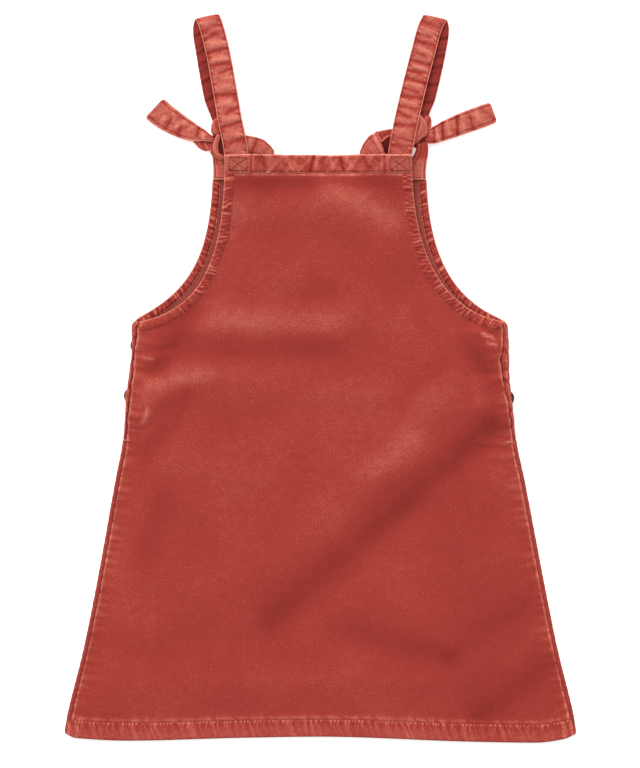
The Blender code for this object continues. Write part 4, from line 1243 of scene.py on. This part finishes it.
for side, seed in (("left", 121), ("right", 122)):
    def tab_relief(u, s):
        drawn_in = smooth(s, 9, 16)
        return (0.5 * wander(4 * u + 0.1 * s, 3.1, seed) * drawn_in
                + 0.2 * (gathers(s + u, 4.2, seed) - 0.5) * bell(np.abs(u) - 0.7, 0.2))

    def tab_wear_and_shade(u, s):
        edges = 0.9 * bell(np.abs(u) - 1, 0.06) + 0.8 * bell(s, 0.9)
        box = 0.35 * bell(np.abs(u) - 0.70, 0.06) * (1 - smooth(s, 12, 14))
        crease = 0.22 * wander(5 * u, 3.3, seed) * smooth(s, 9, 16)
        # Its upper part, where it goes in under the knot, darkens with painted shade.
        return 0.30 + edges + box + crease - 0.35 * smooth(s, 15, 21)

    parts = ribbon(TAB_ROWS[side], STRAP, tab_relief, tab_wear_and_shade, step=0.5)
    foot_x, foot_y = TAB_ROWS[side][0][:2]
    half = STRAP_WIDTH / 2 - 2.2
    for along in TAB_STITCHES:
        line = straight((foot_x - half, foot_y + along), (foot_x + half, foot_y + along),
                        lambda x, y: TAB_FACE)
        parts.append(stitches(line, pitch=2.7, length=2.1, thread=0.5))
    tab = add_piece(f"tab_{side}_strip", parts, [worn_cord, thread])
    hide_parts(f"tab_{side}")

# ---------------------------------------------------------------------------------------------
# Tails. The strap's own end hangs free of each knot: a flat tube with its end turned in and one
# row of stitches all round.
# ---------------------------------------------------------------------------------------------
TAIL_ROWS = {
    "left": (
        (-87.5, 201.4, 3.2, 98, 4.4),
        (-92.6, 203.4, 3.8, 88, 5.8),
        (-98.0, 205.6, 3.6, 76, 9.2),
        (-105.0, 207.2, 3.2, 62, 14.2),
        (-114.6, 211.4, 2.4, 52, 18.2),
        (-131.0, 221.4, 1.6, 49, 22.0),
        (-141.0, 229.4, 1.3, 46.5, 22.8),
    ),
    "right": (
        (88.5, 205.0, 3.6, 94, 12.0),
        (94.2, 205.6, 3.8, 95, 13.8),
        (104.4, 209.6, 3.2, 98, 16.6),
        (122.6, 216.8, 2.2, 100, 18.6),
        (136.0, 221.6, 1.6, 104, 18.8),
        (147.6, 225.9, 1.3, 110, 18.0),
    ),
}
# Creases across each tail, as on the straps; across runs from -10 to 10 whatever the width.
TAIL_HALF = 10
TAIL_CREASES = {
    "left": (
        (-7, 11, 3, 13, 0.8, 1.6), (-3, 17, 8, 19, -0.6, 1.4), (2, 26, 9, 23, 0.6, 1.8),
        (-9, 30, 2, 34, -0.6, 1.5), (-2, 36, 6, 33, 0.5, 1.8), (-8, 42, 3, 44, -0.6, 1.3),
        (2, 42, 8, 47, 0.4, 1.6), (-7, 47, 0, 49, 0.5, 1.6),
    ),
    "right": (
        (-9, 8, 8, 9, -0.6, 1.1), (-8, 12, 6, 11, 0.5, 1.4), (-9, 16, 9, 17, -0.8, 1.2),
        (-6, 22, 8, 21, 0.5, 1.8), (-8, 29, 9, 31, -0.8, 1.3), (-6, 35, 7, 35, 0.4, 2.2),
        (-9, 43, 4, 42, -0.5, 1.4), (-2, 48, 8, 49, 0.4, 2.0),
    ),
}
TAIL_SEAM = 0.74                # the share of the half width at which its edges are sewn
TAIL_END_SEAM = 2.6             # how far in from its end the tail is sewn across
for side, outward, seed in (("left", -1, 131), ("right", 1, 132)):
    creases = TAIL_CREASES[side]

    def tail_relief(u, s):
        return (0.8 * folds_at(creases, u * TAIL_HALF, s)
                + 0.3 * (gathers(s + u, 5.2, seed) - 0.5) * bell(np.abs(u) - 0.8, 0.15))

    def tail_wear_and_shade(u, s):
        edges = 1.15 * bell(np.abs(u) - 1.0, 0.06) * (0.9 + 0.4 * wander(s, 9, seed))
        patches = 0.14 * wander(s + 7 * u, 11, seed + 2) + 0.10 * wander(9 * u + 0.3 * s, 5, seed + 3)
        folded = 0.9 * bell(outward * u - 0.86, 0.2) * (1 - smooth(s, 18, 30)) * (side == "left")
        # Crease ridges pale from rubbing, with painted shade in their troughs; the first mm, where the tail
        # comes out of the knot, darken with painted shade.
        return (0.32 + edges + folded + 0.80 * folds_at(creases, u * TAIL_HALF, s) + patches
                - 0.30 * (1 - smooth(s, 1, 7)))

    parts = ribbon(TAIL_ROWS[side], STRAP, tail_relief, tail_wear_and_shade, step=0.6, seams=(TAIL_SEAM,),
                   blunt=1.6, corner=TAIL_END_SEAM)
    # The row of stitches that closes the tail's end.
    end_x, end_y, end_z, end_turn, end_width = TAIL_ROWS[side][-1]
    back_x, back_y = TAIL_ROWS[side][-2][:2]
    shrink = TAIL_END_SEAM / math.hypot(end_x - back_x, end_y - back_y)
    seam_x, seam_y = end_x + (back_x - end_x) * shrink, end_y + (back_y - end_y) * shrink
    reach = TAIL_SEAM / 2 * end_width
    cross_x, cross_y = math.cos(math.radians(end_turn)) * reach, math.sin(math.radians(end_turn)) * reach
    line = straight((seam_x - cross_x, seam_y - cross_y), (seam_x + cross_x, seam_y + cross_y),
                    lambda x, y: end_z + 0.95)
    parts.append(stitches(line, pitch=2.9, length=2.1, thread=0.45))
    if side == "left":
        # The tail is folded along itself next to the knot: a second lobe shows below it.
        lobe_rows = ((-109.5, 203.0, 1.5, 70, 1.0), (-105.0, 200.6, 1.6, 68, 4.4),
                     (-100.5, 198.2, 1.8, 66, 7.6), (-96.0, 197.0, 2.0, 80, 8.8),
                     (-92.6, 197.8, 2.1, 100, 7.6), (-90.4, 199.2, 2.1, 112, 4.6))
        parts += ribbon(lobe_rows, 1.5, lambda u, s: 0.3 * wander(3 * u + s, 5, 5) * (1 - u**2),
                        lambda u, s: (0.16 + 0.9 * bell(u - 1, 0.12) + 0.4 * bell(u + 1, 0.10)
                                      + 0.3 * wander(3 * u + s, 5, 5) - 0.4 * bell(u - 0.6, 0.3)),
                        step=0.5, seams=())
    tail = add_piece(f"tail_{side}_end", parts, [worn_cord, thread])
    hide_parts(f"tail_{side}")

# ---------------------------------------------------------------------------------------------
# Loops. The strap's bight, pushed through the knot on the other side, lies flat as a short lobe
# that shows above the top band.
# ---------------------------------------------------------------------------------------------
LOOP_ROWS = {
    "left": (
        (-69.6, 198.0, 1.7, 94, 15.0),
        (-62.0, 197.0, 1.5, 84, 16.4),
        (-51.0, 195.0, 1.5, 74, 15.0),
        (-44.0, 192.2, 1.9, 66, 10.0),
        (-39.8, 190.7, 3.1, 66, 4.6),
        (-44.0, 192.4, 4.3, 66, 10.4),
        (-51.0, 195.8, 4.7, 74, 14.6),
        (-62.0, 197.8, 4.7, 84, 16.0),
        (-69.6, 198.8, 4.6, 94, 15.0),
    ),
    "right": (
        (72.6, 203.4, 1.7, 86, 16.0),
        (64.0, 202.4, 1.5, 98, 19.0),
        (52.0, 199.4, 1.5, 112, 21.0),
        (42.0, 194.0, 1.9, 124, 15.0),
        (35.4, 189.2, 3.1, 132, 5.6),
        (42.0, 194.2, 4.3, 124, 15.4),
        (48.6, 198.0, 4.7, 114, 20.0),
        (52.6, 198.4, 4.4, 108, 18.0),
    ),
}
for side, seed in (("left", 141), ("right", 142)):
    def loop_relief(u, s):
        return 0.30 * wander(s + 2 * u, 9, seed) + 0.2 * (gathers(s + 3 * u, 5, seed) - 0.5)

    def loop_under(u, s):
        """The side that shows inside the bight: painted shade, with one edge pale from rubbing."""
        return -0.05 - 0.85 * smooth(-u, -0.35, 0.6) + 0.8 * bell(u - 1, 0.12) + 0.12 * wander(s, 7, seed)

    def loop_wear_and_shade(u, s):
        facing = smooth(s, 28, 34)
        bars = 0.30 * wander(s + 1.5 * u, 10, seed + 2)
        edges = 0.9 * bell(np.abs(u) - 1.0, 0.07)
        near_strap = smooth(s, 54, 64) * 0.75 if side == "left" else -0.5 * bell(s - 57.5, 1.6)
        bold = 1.1 if side == "left" else 0.5
        # The lower run, under the upper one, carries painted shade; on the left the upper run's end by the
        # strap darkens with painted shade, and on the right its folded end is paler. Edges pale from
        # rubbing.
        return (0.30 + bold * bars) * facing - 0.35 * (1 - facing) + edges - near_strap

    parts = ribbon(LOOP_ROWS[side], 1.4, loop_relief, loop_wear_and_shade, step=0.6, seams=(0.8,),
                   under_wear_and_shade=loop_under, faces_up=-1)
    if side == "right":
        # The bight's upper run doubles over on itself, and its folded edge stands up bright.
        inner_rows = ((47.6, 209.4, 4.3, 18, 1.6), (49.3, 205.3, 5.0, 26, 2.4),
                      (52.4, 201.0, 5.2, 60, 2.8), (54.6, 203.2, 5.0, 140, 2.6),
                      (59.4, 205.7, 4.2, 110, 2.0), (64.0, 206.4, 3.6, 96, 1.6))
        parts += ribbon(inner_rows, 1.6, lambda u, s: 0, lambda u, s: 0.55 - 0.5 * np.abs(u),
                        step=0.4, across=15, seams=())
    loop = add_piece(f"loop_{side}_bight", parts, [strap_cord, thread])
    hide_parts(f"loop_{side}")

# ---------------------------------------------------------------------------------------------
# Knots. The strap's end and the tab are tied in a flat knot. Each knot is a wadded core with the
# turns of the strap wrapped round it, so that the turns and the hollows between them show.
# ---------------------------------------------------------------------------------------------
# Each core's middle, half width, half length and half height.
KNOT_CORES = {
    "left": (-81.4, 204.0, 9.6, 16.0, 2.7),
    "right": (82.0, 208.4, 8.4, 13.0, 2.7),
}
# Each turn: its rows as on the straps, its own thickness and its lightness, which is its fading
# with painted shade on the turns that lie lower.
KNOT_TURNS = {
    "left": (
        (((-83.6, 219.8, 5.0, 150, 7.0), (-86.4, 215.6, 5.6, 172, 10.4), (-87.2, 211.0, 5.4, 182, 11.0),
          (-86.6, 206.4, 4.6, 192, 9.0)), 2.0, 0.16),
        (((-91.2, 197.0, 3.6, 180, 4.0), (-91.0, 192.6, 4.2, 190, 4.6), (-88.8, 188.8, 4.2, 214, 4.8),
          (-84.8, 186.6, 4.0, 244, 4.4)), 2.0, 0.10),
        (((-85.4, 207.0, 5.6, 164, 3.6), (-86.8, 202.6, 6.6, 162, 4.2), (-88.6, 196.6, 6.8, 170, 4.6),
          (-87.9, 191.2, 6.4, 196, 4.4), (-84.6, 187.2, 5.6, 224, 4.2),
          (-81.0, 185.4, 4.8, 240, 3.6)), 1.7, 0.38),
    ),
    "right": (
        (((90.0, 223.0, 2.6, 0, 5.6), (90.6, 219.6, 2.6, 2, 8.0), (90.4, 215.0, 2.4, 4, 8.6),
          (88.6, 209.0, 2.3, 6, 8.0)), 2.2, 0.16),
        (((76.6, 222.8, 5.8, 50, 8.0), (80.0, 219.6, 6.2, 24, 13.0), (83.4, 214.0, 6.4, 4, 14.4),
          (84.0, 207.4, 6.0, 2, 13.6), (82.2, 201.8, 5.0, 24, 12.0), (78.2, 199.4, 4.2, 62, 8.6),
          (72.6, 198.6, 3.8, 86, 7.0)), 2.4, 0.30),
    ),
}
for side, seed in (("left", 151), ("right", 152)):
    core_x, core_y, half_width, half_length, half_height = KNOT_CORES[side]
    along = np.linspace(-1, 1, 41)[:, None]
    u = edge_dense(31)[None, :]
    girth = np.sqrt(np.clip(1 - np.abs(along)**3.2, 0.02, 1))
    x = core_x + half_width * u * girth
    y = core_y + half_length * along
    dome = half_height * np.sqrt(np.clip(1 - np.abs(u)**2.6, 0, 1)) * girth
    wrinkle = 0.35 * wander(6 * u + 5 * along, 4, seed) * (1 - u**4) * girth
    middle = half_height + 0.4
    # The core is painted in shade, dark as the hollows between the turns.
    parts = [layered(x, y, middle + dome + wrinkle, middle - dome - 0.02, worn=-0.85, lower_worn=-0.5)]
    for rows, thickness, fade_and_light in KNOT_TURNS[side]:
        def turn_relief(u, s):
            return 0.8 * (1 - u**2) + 0.14 * wander(3 * u + 0.25 * s, 3.6, seed)

        def turn_wear_and_shade(u, s):
            folds = wander(3 * u + 0.25 * s, 3.6, seed) * (1 - u**2)
            return fade_and_light + 0.7 * bell(np.abs(u) - 0.97, 0.09) + 0.30 * folds

        parts += ribbon(rows, thickness, turn_relief, turn_wear_and_shade, step=0.4, across=23, seams=())
    knot = add_piece(f"knot_{side}_turns", parts, [strap_cord, thread])
    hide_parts(f"knot_{side}")

# ---------------------------------------------------------------------------------------------
# Buttons. Four flat sew-through buttons of dark brown resin close the side openings from the
# front, so each stands face down under the front's edge, with only its rim past the cloth.
# ---------------------------------------------------------------------------------------------
BUTTON_RADIUS = 6.5
BUTTON_HEIGHT = 3.0
HOLE_OFFSET = 1.35
THREAD_HEIGHT = 0.62            # where the thread lies across the face that is turned down


def make_resin():
    """Dark brown resin with a clouded grain, semi-gloss."""
    made = bpy.data.materials.new("button resin")
    made.use_nodes = True
    tree = made.node_tree
    shader = tree.nodes["Principled BSDF"]
    where = new_node(tree, "ShaderNodeTexCoord").outputs["Object"]
    swirl = noise(tree, where, 420.0, 4.0, 0.6)
    fine = noise(tree, where, 2600.0, 2.0)
    colour = blend_colours(tree, swirl, (0.040, 0.013, 0.009, 1), (0.15, 0.048, 0.033, 1))
    tree.links.new(colour, shader.inputs["Base Color"])
    tree.links.new(calculate(tree, "MULTIPLY_ADD", fine, 0.25, 0.36), shader.inputs["Roughness"])
    shader.inputs["Specular IOR Level"].default_value = 0.2
    return made


resin = make_resin()
button_thread = cord_material("button thread", (0.16, 0.020, 0.016), (0.30, 0.06, 0.05),
                              (0.05, 0.005, 0.005), pitch=0.3, clouding=0.2, lint=0.0)


def button_faces(x, y):
    """The heights of a button's upper and lower face, from its middle: a turned rim and four holes."""
    radius = np.hypot(x, y)
    holes = sum(bell(np.hypot(x - a * HOLE_OFFSET, y - b * HOLE_OFFSET), 0.75)**2
                for a, b in ((-1, -1), (-1, 1), (1, -1), (1, 1)))
    rim = np.sqrt(np.clip(1 - (np.clip(radius - 5.3, 0, None) / 1.22)**2, 0, 1))
    lower = 1.3 - 1.3 * rim + 0.55 * (1 - smooth(radius, 3.4, 4.4)) + 0.8 * holes
    upper = 1.7 + (BUTTON_HEIGHT - 1.7) * rim - 0.5 * holes - 0.25 * (1 - smooth(radius, 3.8, 5))
    return upper, lower


def button_disc(middle_x, middle_y, turns=72):
    """A closed turned surface: rings run out over the upper face and back in under the lower one,
    and each pole is closed by a fan of quads."""
    out = np.concatenate([np.linspace(0.3, 3.9, 13), np.linspace(4.2, 6.1, 9),
                          np.linspace(6.25, BUTTON_RADIUS, 3)])
    radius = np.concatenate([out, out[::-1]])[:, None]
    angle = np.arange(turns)[None, :] * 2 * np.pi / turns
    x, y = radius * np.cos(angle), radius * np.sin(angle)
    upper, lower = button_faces(x, y)
    z = np.where(np.arange(len(radius))[:, None] < len(out), upper, lower)
    poles = [(0.0, 0.0, float(height)) for height in button_faces(0.0, 0.0)]
    rings = np.stack([x, y, z], axis=2).reshape(-1, 3)
    points = np.concatenate([poles[:1], rings, poles[1:]]) + (middle_x, middle_y, 0)
    around = np.arange(turns)
    after = (around + 1) % turns
    first = 1 + np.arange(len(radius) - 1)[:, None] * turns
    walls = np.stack([first + around, first + turns + around, first + turns + after, first + after],
                     axis=2).reshape(-1, 4)
    even = np.arange(0, turns, 2)
    last = 1 + (len(radius) - 1) * turns
    top = np.stack([0 * even, 1 + even, 2 + even, 1 + (even + 2) % turns], axis=1)
    bottom = np.stack([last + even, 0 * even + len(points) - 1, last + (even + 2) % turns, last + even + 1],
                      axis=1)
    quads = np.concatenate([walls, top, bottom])
    return points, quads, points[:, :2], np.zeros(len(points)), np.zeros(len(quads), int)


for name, (button_x, button_y) in BUTTON_PLACES.items():
    parts = [button_disc(button_x, button_y)]
    for holes_y in (button_y - HOLE_OFFSET, button_y + HOLE_OFFSET):
        line = straight((button_x - HOLE_OFFSET, holes_y), (button_x + HOLE_OFFSET, holes_y),
                        lambda x, y: THREAD_HEIGHT)
        parts.append(stitches(line, pitch=2.6, length=2.5, thread=0.7, start=0.05))
    button = add_piece(f"button_{name}_disc", parts, [resin, button_thread])
    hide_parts(f"button_{name}")
